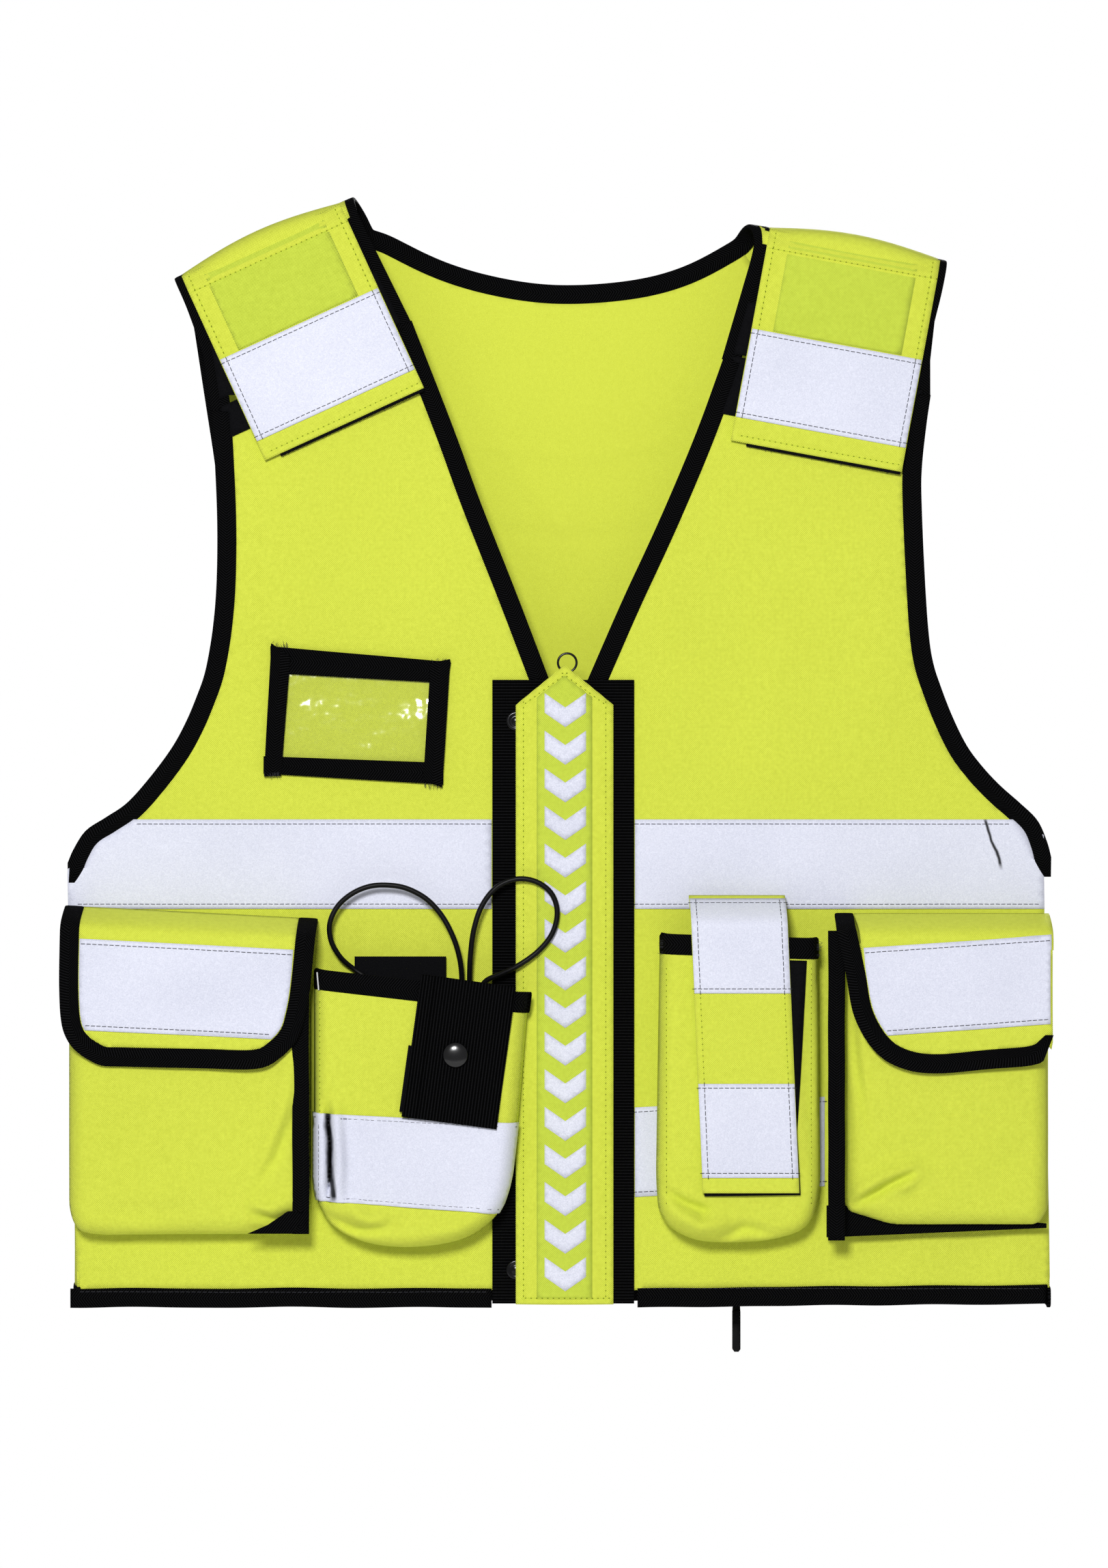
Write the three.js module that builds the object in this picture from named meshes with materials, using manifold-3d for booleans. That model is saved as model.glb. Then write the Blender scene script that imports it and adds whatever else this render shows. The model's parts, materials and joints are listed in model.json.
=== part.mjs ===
// A security worker's high visibility vest, hung upright: a back, two fronts joined by a zip,
// shoulder tabs, two cargo pockets, a radio pouch, a torch pouch and a badge window.
// Millimetres. +Z is up, the fronts face -Y, and +X is the wearer's left side.
// The origin is where a hanger's hook stands, in the middle, level with the shoulder folds.
import * as THREE from "three";
import { mergeVertices } from "three/addons/utils/BufferGeometryUtils.js";
import Module from "manifold-3d";

const wasm = await Module();
wasm.setup();

// ---- Driving dimensions ----
const sideRight = 277; // middle of the zip to the right side seam
const sideLeft = 270; // middle of the zip to the left side seam
const length = 611; // shoulder level down to the middle of the hem binding
const bodyGap = 36; // space between the fronts and the back, across the side gussets
const fabric = 1.2; // one layer of coated polyester
const bindingWidth = 10.8; // folded webbing round the edges
const bindingProud = 0.8; // how far the binding stands off each face of the fabric
const tapeThick = 0.8; // reflective tape
const tapeWidth = 50; // reflective tape
const webThick = 1.5; // webbing facings and hook and loop patches
const play = 0.3; // gap between pieces that are sewn to each other
const facingOuterRight = 40.5; // middle of the zip to the far edge of each facing
const facingOuterLeft = 39;
const facingInner = 6;
const facingTop = -265.5;
const chestTapeTop = -343.5;
const cargoDepth = 22; // how far each cargo pocket stands off its front
const pouchDepth = 25; // how far the radio and torch pouches stand off
const pocketWall = 1.5;
const flapThick = 1.4;
const strapThick = 1.4;
const stripHalf = 27.2; // half the width of the title strip
const stripTip = -257.3;
const stripLift = 7; // front fabric to the back of the title strip
const cordDiameter = 3; // elastic cord
const shoulderDrop = 77; // shoulder fold down to where each front begins, under its shoulder tab
const yokeBackDrop = 22; // shoulder fold down to the back panel

// ---- Places that follow from them ----
const frontBack = -bodyGap / 2; // inner face of the fronts
const frontFace = frontBack - fabric; // outer face of the fronts
const backInner = bodyGap / 2 - fabric;
const backFace = bodyGap / 2;
const onFront = frontFace - play; // where a piece sewn on the front begins
const hemTop = bindingWidth / 2;
const facingFace = onFront - webThick;
const stripBack = frontFace - stripLift;
const pouchBack = onFront;
const pouchFace = pouchBack - pouchDepth;
const cargoFace = pouchBack - cargoDepth;

const colours = {
  yellow: 0xdcec3c,
  black: 0x0b0b0d,
  silver: 0xdfe2f2,
  clear: 0xe8f0c8,
  metal: 0x2a2a2c,
};

function finish(colour, roughness, metalness = 0) {
  return new THREE.MeshStandardMaterial({ color: colour, roughness, metalness });
}
const yellowCloth = finish(colours.yellow, 0.85);
const blackWebbing = finish(colours.black, 0.9);
const silverTape = finish(colours.silver, 0.55, 0.2);
const clearFilm = finish(colours.clear, 0.1);
const darkMetal = finish(colours.metal, 0.25, 0.9);

// ---- Shape helpers. Outlines are lists of [x, z], seen from the front ----

// A flat piece with its back at y = back, standing off towards -Y.
function plate(outline, back, thick) {
  const shape = new THREE.Shape(outline.map(([x, z]) => new THREE.Vector2(x, z)));
  const geometry = new THREE.ExtrudeGeometry(shape, { depth: thick, bevelEnabled: false });
  return geometry.rotateX(Math.PI / 2).translate(0, back, 0);
}

// A profile in [y, z], given a length along X from x = left.
function bar(profile, left, wide) {
  const shape = new THREE.Shape(profile.map(([y, z]) => new THREE.Vector2(y, z)));
  const geometry = new THREE.ExtrudeGeometry(shape, { depth: wide, bevelEnabled: false });
  return geometry.rotateZ(Math.PI / 2).rotateY(Math.PI / 2).translate(left, 0, 0);
}

function rectangle(x0, x1, z0, z1) {
  return [[x0, z0], [x1, z0], [x1, z1], [x0, z1]];
}

// Points evenly along a smooth line through the given ones.
function smooth(points, count) {
  const curve = new THREE.SplineCurve(points.map(([x, z]) => new THREE.Vector2(x, z)));
  return curve.getPoints(count).map((p) => [p.x, p.y]);
}

// The unit normal, to the left of travel, at each point of an open line.
function normals(line) {
  return line.map((_, i) => {
    const a = line[Math.max(i - 1, 0)];
    const b = line[Math.min(i + 1, line.length - 1)];
    const long = Math.hypot(b[0] - a[0], b[1] - a[1]);
    return [-(b[1] - a[1]) / long, (b[0] - a[0]) / long];
  });
}

function offset(line, distance) {
  const n = normals(line);
  return line.map(([x, z], i) => [x + n[i][0] * distance, z + n[i][1] * distance]);
}

// The outline of a strip of even width along an open line.
function ribbon(line, wide) {
  return [...offset(line, -wide / 2), ...offset(line, wide / 2).reverse()];
}

// A closed outline moved in by the same distance on every side.
function inset(outline, distance) {
  const turn = turnsLeft(outline) ? 1 : -1;
  const count = outline.length;
  const side = (a, b) => {
    const long = Math.hypot(b[0] - a[0], b[1] - a[1]);
    return [(-(b[1] - a[1]) / long) * turn, ((b[0] - a[0]) / long) * turn];
  };
  return outline.map((p, i) => {
    const m = side(outline[(i + count - 1) % count], p);
    const n = side(p, outline[(i + 1) % count]);
    const share = distance / (1 + m[0] * n[0] + m[1] * n[1]);
    return [p[0] + (m[0] + n[0]) * share, p[1] + (m[1] + n[1]) * share];
  });
}

function turnsLeft(outline) {
  return THREE.ShapeUtils.area(outline.map(([x, z]) => new THREE.Vector2(x, z))) > 0;
}

// A closed solid between two outlines with the same number of points.
function loft(backGiven, back, faceGiven, face) {
  const [backOutline, faceOutline] = [backGiven, faceGiven].map((outline) =>
    turnsLeft(outline) ? outline : outline.slice().reverse(),
  );
  const count = backOutline.length;
  const positions = [
    ...backOutline.flatMap(([x, z]) => [x, back, z]),
    ...faceOutline.flatMap(([x, z]) => [x, face, z]),
  ];
  const caps = THREE.ShapeUtils.triangulateShape(
    faceOutline.map(([x, z]) => new THREE.Vector2(x, z)),
    [],
  );
  const index = [];
  for (const [a, b, c] of caps) index.push(a, c, b, a + count, b + count, c + count);
  for (let i = 0; i < count; i++) {
    const j = (i + 1) % count;
    index.push(i, j, j + count, i, j + count, i + count);
  }
  const geometry = new THREE.BufferGeometry();
  geometry.setAttribute("position", new THREE.Float32BufferAttribute(positions, 3));
  geometry.setIndex(index);
  return geometry;
}

// ---- Joins and cuts ----

function solid(geometry) {
  const bare = geometry.clone();
  bare.deleteAttribute("normal");
  bare.deleteAttribute("uv");
  const merged = mergeVertices(bare, 1e-4);
  const mesh = new wasm.Mesh({
    numProp: 3,
    vertProperties: merged.attributes.position.array,
    triVerts: new Uint32Array(merged.index.array),
  });
  return new wasm.Manifold(mesh);
}

function geometryOf(made) {
  const mesh = made.getMesh();
  const geometry = new THREE.BufferGeometry();
  geometry.setAttribute("position", new THREE.BufferAttribute(mesh.vertProperties, 3));
  geometry.setIndex(new THREE.BufferAttribute(mesh.triVerts, 1));
  return geometry;
}

function joined(...geometries) {
  return geometryOf(geometries.map(solid).reduce((a, b) => a.add(b)));
}

function cut(geometry, ...tools) {
  return geometryOf(tools.map(solid).reduce((a, b) => a.subtract(b), solid(geometry)));
}

// Fabric whose edge lies along bindings: the bindings' strips are cut out of it, with play.
function boundCloth(outline, back, thick, lines, wide = bindingWidth) {
  const room = 3;
  const strips = lines.map((line) =>
    plate(ribbon(line, wide + 2 * play), back + room, thick + 2 * room),
  );
  return cut(plate(outline, back, thick), ...strips);
}

function binding(line, back = frontBack, thick = fabric, wide = bindingWidth) {
  return plate(ribbon(line, wide), back + bindingProud, thick + 2 * bindingProud);
}

const vest = new THREE.Group();
vest.name = "high_visibility_vest";

function add(name, geometry, material, parent = vest) {
  const mesh = new THREE.Mesh(geometry, material);
  mesh.name = name;
  parent.add(mesh);
  return mesh;
}

// ---- Edges of the garment ----
const neckLine = smooth(
  [[-106, -15], [-72, -32], [-38, -42], [-2, -46.4], [40, -43.4], [72, -34.5], [103, -17.5]],
  20,
);
const vRight = smooth(
  [[-90.5, -66.5], [-67, -127], [-52, -168], [-31.5, -220], [-14.2, facingTop]], 10);
const vLeft = smooth(
  [[94.3, -86], [78.3, -130], [57.4, -179.5], [37.3, -223], [18.7, facingTop]], 10);
const underArm = -360;
const armRight = smooth(
  [[-191.9, -114.5], [-189, -172], [-189.6, -219], [-194, -254], [-200.5, -276],
    [-215, -306], [-241, -338], [-sideRight + 13, -353.5], [-sideRight + 4, underArm - 10]],
  16,
);
const armLeft = smooth(
  [[199.5, -105.5], [194.5, -147], [195.4, -190], [198.6, -243], [205, -270],
    [220.4, -305], [240, -328.5], [sideLeft - 10, -347], [sideLeft - 3, underArm - 6]],
  16,
);

// The shoulder folds: where the outer end is, which way the fold runs, and how long it is.
const shoulders = {
  right: { start: [-214.9, -38.4], tilt: Math.atan2(40.4, 88.7), long: 97.5, outer: 0 },
  left: { start: [115.1, -11.9], tilt: Math.atan2(-17.7, 95.4), long: 97, outer: 1 },
};

// A point of the fold's own frame: u along the fold from its start, v down the front.
function fromFold({ start, tilt }, u, v) {
  return [
    start[0] + u * Math.cos(tilt) + v * Math.sin(tilt),
    start[1] + u * Math.sin(tilt) - v * Math.cos(tilt),
  ];
}

// Where each yoke gives way to the front, down from the fold, and a tool that cuts a stretch
// between two such distances out of the bindings.
const frontTop = { right: shoulderDrop, left: shoulderDrop - 2 };
function acrossShoulder(side, from, to) {
  const shoulder = shoulders[side];
  const corners = [[-40, from], [-40, to], [shoulder.long + 40, to], [shoulder.long + 40, from]];
  return plate(corners.map(([u, v]) => fromFold(shoulder, u, v)), 0, bodyGap);
}

// ---- Back ----
function backPanel() {
  const outline = [
    ...neckLine,
    fromFold(shoulders.left, 0, yokeBackDrop + play),
    fromFold(shoulders.left, shoulders.left.long - 4, yokeBackDrop + play),
    ...backArmLeft,
    [sideLeft - 2, -length],
    [-sideRight + 2, -length],
    ...backArmRight.slice().reverse(),
    fromFold(shoulders.right, 4, yokeBackDrop + play),
    fromFold(shoulders.right, shoulders.right.long, yokeBackDrop + play),
  ];
  const sides = ["right", "left"];
  const lines = [neckLine, ...sides.map(neckTail), ...sides.map(neckLeg), backArmLeft, backArmRight, backHem];
  return boundCloth(outline, backFace, fabric, lines);
}
// The leg of the neck binding's arch, down the back of the shoulder.
function neckLeg(side) {
  const shoulder = shoulders[side];
  return [fromFold(shoulder, neckU[side], 0), fromFold(shoulder, neckU[side], yokeBackDrop + play)];
}
// From the arch of the neck binding down to the end of the neck line.
function neckTail(side) {
  const end = side === "right" ? neckLine[0] : neckLine.at(-1);
  return [fromFold(shoulders[side], neckU[side], yokeBackDrop - 6), end];
}
const backArmRight = smooth(
  [fromFold(shoulders.right, 1, yokeBackDrop - 3), [-189, -172], [-190, -222], [-202, -279],
    [-232, -329], [-sideRight + 6, underArm - 4]],
  14,
);
const backArmLeft = smooth(
  [fromFold(shoulders.left, shoulders.left.long - 1, yokeBackDrop - 3), [193, -172], [194, -222],
    [204, -272], [228, -318], [sideLeft - 6, underArm - 4]],
  14,
);
const backHem = [[-sideRight + 2, -length], [sideLeft - 2, -length]];

// The cross-section of a shoulder: down the back, over the top and down the front.
function archProfile(proud, backDrop, frontDrop) {
  const out = backFace + proud;
  const front = frontFace - proud;
  const outer = [
    [out, -backDrop], [out, -8], [out - 3.5, -2.5], [out - 9, proud],
    [front + 8, proud], [front + 3, -2.5], [front, -8], [front, -frontDrop],
  ];
  const wall = fabric + 2 * proud;
  const inner = [
    [front + wall, -frontDrop], [front + wall, -8.6], [front + 4, -3.2 - proud],
    [front + 8.4, -fabric - proud], [out - 9.4, -fabric - proud], [out - 4.5, -3.2 - proud],
    [out - wall, -8.6], [out - wall, -backDrop],
  ];
  return [...outer, ...inner];
}

// An arch over the shoulder between two places along the fold, in the vest's own frame.
function arch(shoulder, from, to, proud, backDrop, frontDrop) {
  const geometry = bar(archProfile(proud, backDrop, frontDrop), from, to - from);
  return geometry
    .rotateY(-shoulder.tilt)
    .translate(shoulder.start[0], 0, shoulder.start[1]);
}

const edge = bindingWidth / 2;
const neckU = { right: shoulders.right.long + 1.5, left: -1.5 };
const armU = { right: 1, left: shoulders.left.long - 1 };
const frontLeg = 20; // how far the arch itself reaches down the front

// The yoke: the arch and the tongue of the front that stays with the shoulder, under the tab.
function yoke(side) {
  const shoulder = shoulders[side];
  const right = side === "right";
  const from = (right ? armU.right : neckU.left) + edge + play;
  const to = (right ? neckU.right : armU.left) - edge - play;
  const tongue = [
    fromFold(shoulder, from, frontLeg - 1), fromFold(shoulder, to, frontLeg - 1),
    ...(right ? [yokeNeck.right.at(-1)] : yokeArm.left.slice(1)),
    ...(right ? yokeArm.right.slice(1).reverse() : [yokeNeck.left.at(-1)]),
  ];
  const cloth = boundCloth(tongue, frontBack, fabric, [yokeNeck[side], yokeArm[side]]);
  return joined(arch(shoulder, from, to, 0, yokeBackDrop, frontLeg), cloth);
}
const yokeNeck = {
  right: [fromFold(shoulders.right, neckU.right, frontLeg - 4),
    fromFold(shoulders.right, shoulders.right.long + 3.4, frontTop.right - play)],
  left: [fromFold(shoulders.left, neckU.left, frontLeg - 4),
    fromFold(shoulders.left, -7.5, frontTop.left - play)],
};
const yokeArm = {
  right: [fromFold(shoulders.right, armU.right, frontLeg - 4),
    fromFold(shoulders.right, -1.5, 46),
    fromFold(shoulders.right, -10, frontTop.right - play)],
  left: [fromFold(shoulders.left, armU.left, frontLeg - 4),
    fromFold(shoulders.left, shoulders.left.long - 3, 46),
    fromFold(shoulders.left, shoulders.left.long + 2.4, frontTop.left - play)],
};

// One binding runs round the back of the neck, over both shoulders and down to each front.
function neckBinding() {
  const parts = [binding(neckLine, backFace)];
  for (const side of ["right", "left"]) {
    const shoulder = shoulders[side];
    const u = neckU[side];
    parts.push(arch(shoulder, u - edge, u + edge, bindingProud, yokeBackDrop, frontLeg));
    parts.push(binding(yokeNeck[side]));
    parts.push(binding(neckTail(side), backFace));
  }
  const ends = ["right", "left"].map((side) =>
    acrossShoulder(side, frontTop[side] - play, frontTop[side] + 20));
  return cut(joined(...parts), ...ends);
}

function armBinding(side, line) {
  const shoulder = shoulders[side];
  const u = armU[side];
  const whole = joined(
    arch(shoulder, u - edge, u + edge, bindingProud, yokeBackDrop, frontLeg),
    binding(yokeArm[side]),
    binding(line, backFace),
  );
  return cut(whole, acrossShoulder(side, frontTop[side] - play, frontTop[side] + 20));
}

add("back_panel", backPanel(), yellowCloth);
add("neck_binding", neckBinding(), blackWebbing);
add("back_hem_binding", binding(backHem, backFace), blackWebbing);
add(
  "back_chest_band",
  plate(rectangle(-222, 215, chestTapeTop - tapeWidth, chestTapeTop),
    backFace + play + tapeThick, tapeThick),
  silverTape,
);
for (const side of ["right", "left"]) {
  add(`shoulder_yoke_${side}`, yoke(side), yellowCloth);
  const line = side === "right" ? backArmRight : backArmLeft;
  add(`arm_binding_back_${side}`, armBinding(side, line), blackWebbing);
}

// The side gussets: strips of cloth that bow out a little between the front and the back.
function gusset(direction, seam) {
  const bow = 2.5;
  const front = frontBack + 4;
  const back = backInner - play;
  const middle = (front + back) / 2;
  const outer = [[0, front], [bow, middle - 6], [bow, middle + 6], [0, back]];
  const section = [...outer, ...outer.map(([x, y]) => [x - fabric, y]).reverse()];
  const shape = new THREE.Shape(section.map(([x, y]) => new THREE.Vector2(x * direction, y)));
  const tall = length - hemTop - 4 + underArm - 12;
  const geometry = new THREE.ExtrudeGeometry(shape, { depth: tall, bevelEnabled: false });
  return geometry.translate(seam, 0, -length + hemTop + 4);
}
add("side_gusset_right", gusset(-1, -sideRight + 3), yellowCloth);
add("side_gusset_left", gusset(1, sideLeft - 3), yellowCloth);

// The zip of the map pocket in the back, above the hem, and the puller that hangs from it.
const rearZip = { x: 97.7, half: 120, z: -length + 12, high: 10 };
add(
  "rear_zip_tape",
  plate(rectangle(-rearZip.half, rearZip.half, rearZip.z - rearZip.high / 2, rearZip.z + rearZip.high / 2),
    backFace + play + 1, 1),
  blackWebbing,
);
const rearTapeFace = backFace + play + 1;
const rearPivot = { y: rearTapeFace + 3.2, z: rearZip.z - 3 };
function rearSlider() {
  const body = plate(rectangle(rearZip.x - 3.5, rearZip.x + 3.5, rearZip.z - 5, rearZip.z + 5),
    rearTapeFace + play + 1.6, 1.6);
  const lug = plate(rectangle(rearZip.x - 1, rearZip.x + 1, rearPivot.z - 2.4, rearPivot.z + 2.4),
    rearTapeFace + play + 3.8, 2.6);
  const hole = bar(circle(rearPivot.y, rearPivot.z, 1, 10), rearZip.x - 3, 6);
  return cut(joined(body, lug), hole);
}
function circle(a, b, radius, count) {
  return Array.from({ length: count }, (_, i) => {
    const turn = (2 * Math.PI * i) / count;
    return [a + radius * Math.cos(turn), b + radius * Math.sin(turn)];
  });
}
// A moulded puller: an eye through the slider's lug, a cord that widens, and a ribbed grip.
function rearPuller() {
  const x = rearZip.x;
  const z = rearPivot.z;
  const pin = bar(circle(rearPivot.y, z, 0.6, 8), x - 2.3, 4.6);
  const back = rearPivot.y + 0.9;
  const cheek = (near) => plate(rectangle(x + near, x + near + 0.9, z - 6, z + 0.9), back, 1.8);
  const cord = plate([[x - 2.3, z - 5], [x - 1.9, z - 15], [x - 2.3, -length - 12.5],
    [x + 2.3, -length - 12.5], [x + 1.9, z - 15], [x + 2.3, z - 5]], back, 1.8);
  const grip = plate([[x - 2.3, -length - 12], [x - 2.3, -length - 33.5], [x - 1.2, -length - 35],
    [x + 1.2, -length - 35], [x + 2.3, -length - 33.5], [x + 2.3, -length - 12]], back + 1, 3.8);
  return joined(pin, cheek(-2.3), cheek(1.4), cord, grip);
}
add("rear_zip_slider", rearSlider(), darkMetal);
add("rear_zip_puller", rearPuller(), blackWebbing);

// ---- Fronts ----
const zipEdge = 16; // middle of the zip to the edge of each front
const hemRight = [[-sideRight + 6, -length], [-zipEdge - play, -length]];
const hemLeft = [[zipEdge + play, -length], [sideLeft, -length + 2]];

const frontOutlineRight = [
  ...vRight,
  [-zipEdge - play, facingTop - 2], [-zipEdge - play, -length],
  [-sideRight + 6, -length], [-sideRight + 0.5, underArm - 12],
  ...armRight.slice().reverse(),
];
const frontOutlineLeft = [
  ...vLeft,
  [zipEdge + play, facingTop - 2], [zipEdge + play, -length],
  [sideLeft, -length + 2], [sideLeft - 3.5, underArm - 8],
  ...armLeft.slice().reverse(),
];
add("front_panel_right",
  boundCloth(frontOutlineRight, frontBack, fabric, [vRight, armRight, hemRight]), yellowCloth);
add("front_panel_left",
  boundCloth(frontOutlineLeft, frontBack, fabric, [vLeft, armLeft, hemLeft]), yellowCloth);

for (const [name, line] of [
  ["v_binding_right", vRight], ["v_binding_left", vLeft],
  ["armhole_binding_right", armRight], ["armhole_binding_left", armLeft],
  ["hem_binding_right", hemRight], ["hem_binding_left", hemLeft],
])
  add(name, cut(binding(line), ...zipClearance(), ...yokeClearance()), blackWebbing);

// The bindings of the fronts begin where those of the yokes end.
function yokeClearance() {
  return ["right", "left"].map((side) => acrossShoulder(side, 0, frontTop[side]));
}

// Room for the zip facing, which covers the end of the V binding and of the hem binding.
function zipClearance() {
  const wide = 2 * (facingOuterRight + play);
  const tall = length + facingTop + 20;
  const middle = facingTop + play - tall;
  return [
    plate(rectangle(-wide / 2, wide / 2, middle, facingTop + play), onFront + play / 2, 4),
    plate(rectangle(-zipEdge - play, zipEdge + play, middle, facingTop + 4), 0, bodyGap),
  ];
}

const facingBottom = -length - hemTop + 2.4;
const chainHalf = 3.2;
const chainFace = frontFace - 2;
for (const [side, way, outer] of [["right", -1, facingOuterRight], ["left", 1, facingOuterLeft]]) {
  const across = (a, b) => [Math.min(way * a, way * b), Math.max(way * a, way * b)];
  add(`zip_facing_${side}`,
    plate(rectangle(...across(facingInner, outer), facingBottom, facingTop), onFront, webThick),
    blackWebbing);
  const tape = plate(rectangle(...across(chainHalf - 0.5, zipEdge), facingBottom + 2, facingTop - 2.5),
    frontBack, fabric);
  const chain = plate(rectangle(...across(0.3, chainHalf), facingBottom + 4, facingTop - 3),
    frontBack + 0.8, frontBack + 0.8 - chainFace);
  add(`zip_tape_${side}`, joined(tape, chain), blackWebbing);
}

// Reflective tape across the chest: it stops at the armhole binding and at the facing.
function chestBand(side) {
  const right = side === "right";
  const seam = right ? -sideRight + 1 : sideLeft - 1;
  const facing = right ? -facingOuterRight - play : facingOuterLeft + play;
  const band = plate(rectangle(Math.min(seam, facing), Math.max(seam, facing),
    chestTapeTop - tapeWidth, chestTapeTop), onFront, tapeThick);
  const line = right ? armRight : armLeft;
  const away = right ? -30 : 30;
  const seamX = line.at(-1)[0];
  const outside = [...offset(line, (right ? 1 : -1) * (edge + play)),
    [seamX + away, line.at(-1)[1]], [seamX + away, line[0][1]]];
  const last = line.at(-1);
  const before = line.at(-2);
  const further = [2 * last[0] - before[0], 2 * last[1] - before[1]];
  const strip = ribbon([...line.slice(-4), further], bindingWidth + 2 * play);
  return cut(band, plate(outside, 0, bodyGap), plate(strip, 0, bodyGap));
}
add("chest_band_right", chestBand("right"), silverTape);
add("chest_band_left", chestBand("left"), silverTape);

// Loop patches on the tops of the fronts, which the shoulder tabs grip.
const patchThick = 1.2;
for (const [side, from, to, low] of [["right", -3, 86, 95], ["left", -1.5, 84, 108]]) {
  const shoulder = shoulders[side];
  const top = shoulderDrop + 0.4;
  const outline = [fromFold(shoulder, from, top), fromFold(shoulder, to, top),
    fromFold(shoulder, to, low), fromFold(shoulder, from, low)];
  const beside = side === "right" ? [vRight, armRight] : [vLeft, armLeft];
  add(`loop_patch_${side}`, boundCloth(outline, onFront, patchThick, beside), blackWebbing);
}

// ---- Title strip over the zip, with the press studs that hold it ----
function titleStrip() {
  const shoulder = stripTip - 22.3;
  const outline = [[0, stripTip], [-stripHalf, shoulder], [-stripHalf, facingBottom],
    [stripHalf, facingBottom], [stripHalf, shoulder]];
  return plate(outline.reverse(), stripBack, strapThick);
}
add("title_strip", titleStrip(), yellowCloth);
const studLift = facingFace - play - (stripBack + play);
for (const [name, z] of [["strip_stud_upper", -288.5], ["strip_stud_lower", -length + 16]]) {
  const stud = new THREE.CylinderGeometry(5.5, 5.5, studLift, 20);
  stud.translate(-stripHalf, facingFace - play - studLift / 2, z);
  add(name, stud, darkMetal);
}

// ---- Zip slider and its pull ring ----
const ring = { x: 1.5, z: -256, radius: 5.2, wire: 0.65 };
const sliderBack = chainFace - play;
const ringY = sliderBack - 1.9;
const ringPivot = ring.z - ring.radius;
function zipSlider() {
  const body = plate([[-4.6, ringPivot - 12], [4.6, ringPivot - 12], [5.6, ringPivot - 4],
    [3, ringPivot - 0.9], [-3, ringPivot - 0.9], [-5.6, ringPivot - 4]], sliderBack, 0.9);
  const lug = plate(rectangle(ring.x - 0.8, ring.x + 0.8, ringPivot - 2.2, ringPivot + 2),
    sliderBack - 0.4, 3.2);
  const hole = bar(circle(ringY, ringPivot, 1, 10), ring.x - 2, 4);
  return cut(joined(body, lug), hole);
}
add("zip_slider", zipSlider(), darkMetal);
const pull = new THREE.TorusGeometry(ring.radius, ring.wire, 8, 28);
pull.rotateX(Math.PI / 2).translate(ring.x, ringY, ring.z);
add("zip_pull_ring", pull, darkMetal);

// ---- Badge window: four strips of webbing joined into a frame, and a clear film behind it ----
const badge = {
  outer: [[-164.1, -246.6], [-63.9, -255.5], [-68.2, -324], [-168, -318]],
  inner: [[-153.9, -262.7], [-75.6, -266.6], [-78.2, -311.1], [-157.8, -308.7]],
};
const filmThick = 0.4;
add("badge_film", plate(inset(badge.outer, 3).reverse(), onFront - play, filmThick), clearFilm);
add("badge_frame",
  cut(plate(badge.outer.slice().reverse(), onFront - 2 * play - filmThick, webThick),
    plate(badge.inner.slice().reverse(), 0, bodyGap)),
  blackWebbing);

// ---- Pockets ----
// A hollow pocket, open at the top. The first two points of each outline are its mouth.
function pocket(backOutline, faceOutline, back, face) {
  const raise = (outline) =>
    inset(outline, pocketWall).map(([x, z], i) => [x, i < 2 ? z + 12 : z]);
  const hollow = loft(raise(backOutline), back - pocketWall, raise(faceOutline), face + pocketWall);
  return cut(loft(backOutline, back, faceOutline, face), hollow);
}
const moved = (outline, x, z) => outline.map((p) => [p[0] + x, p[1] + z]);

// Outlines of the cargo pockets and pouches are measured from the foot of the nearest side seam
// or from the foot of the zip, so that they keep their own size.
const footRight = [-sideRight, -length];
const footLeft = [sideLeft, -length];
const footZip = [0, -length];
const cargoMouth = 199;

const cargoRightFace = [[1, cargoMouth], [135.5, cargoMouth], [135.5, 46], [130, 37], [8, 36], [1, 42]];
const cargoRightBack = [[5, cargoMouth], [131.5, cargoMouth], [131.5, 48], [126, 41], [11, 40], [5, 46]];
const cargoLeftFace = [[-114, cargoMouth], [-0.5, cargoMouth], [-0.5, 50], [-6, 42], [-88, 42], [-114, 50]];
const cargoLeftBack = [[-112, cargoMouth], [-5, cargoMouth], [-5, 54], [-9, 46], [-87, 46], [-112, 54]];
add("cargo_pocket_right",
  pocket(moved(cargoRightBack, ...footRight), moved(cargoRightFace, ...footRight), pouchBack, cargoFace),
  yellowCloth);
add("cargo_pocket_left",
  pocket(moved(cargoLeftBack, ...footLeft), moved(cargoLeftFace, ...footLeft), pouchBack, cargoFace),
  yellowCloth);
add("cargo_binding_right",
  plate(moved([[126, 174], [135.4, 174], [135.4, 38], [126, 38]].reverse(), ...footRight),
    cargoFace - play, 1), blackWebbing);
add("cargo_binding_left",
  plate(moved([[-124, 206], [-124, 34.5], [-114.6, 34.5], [-114.6, 206]], ...footLeft),
    cargoFace + 4 - play - 1, 4), blackWebbing);

// A piece that hangs from a fold: it slants out from the front, then falls straight down.
const foldStep = 1.3; // fold line to where the piece begins
function hangingProfile(fold, face, bend, low, thick) {
  const slope = Math.hypot(face - fold[0], bend - fold[1]);
  const dy = (face - fold[0]) / slope;
  const dz = (bend - fold[1]) / slope;
  const half = thick / 2;
  const start = [fold[0] + dy * foldStep, fold[1] + dz * foldStep];
  return [
    [start[0] + dz * half, start[1] - dy * half],
    [face - half, bend + half * 0.6],
    [face - half, low],
    [face + half, low],
    [face + half, bend - half * 0.6],
    [start[0] - dz * half, start[1] + dy * half],
  ];
}

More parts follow.
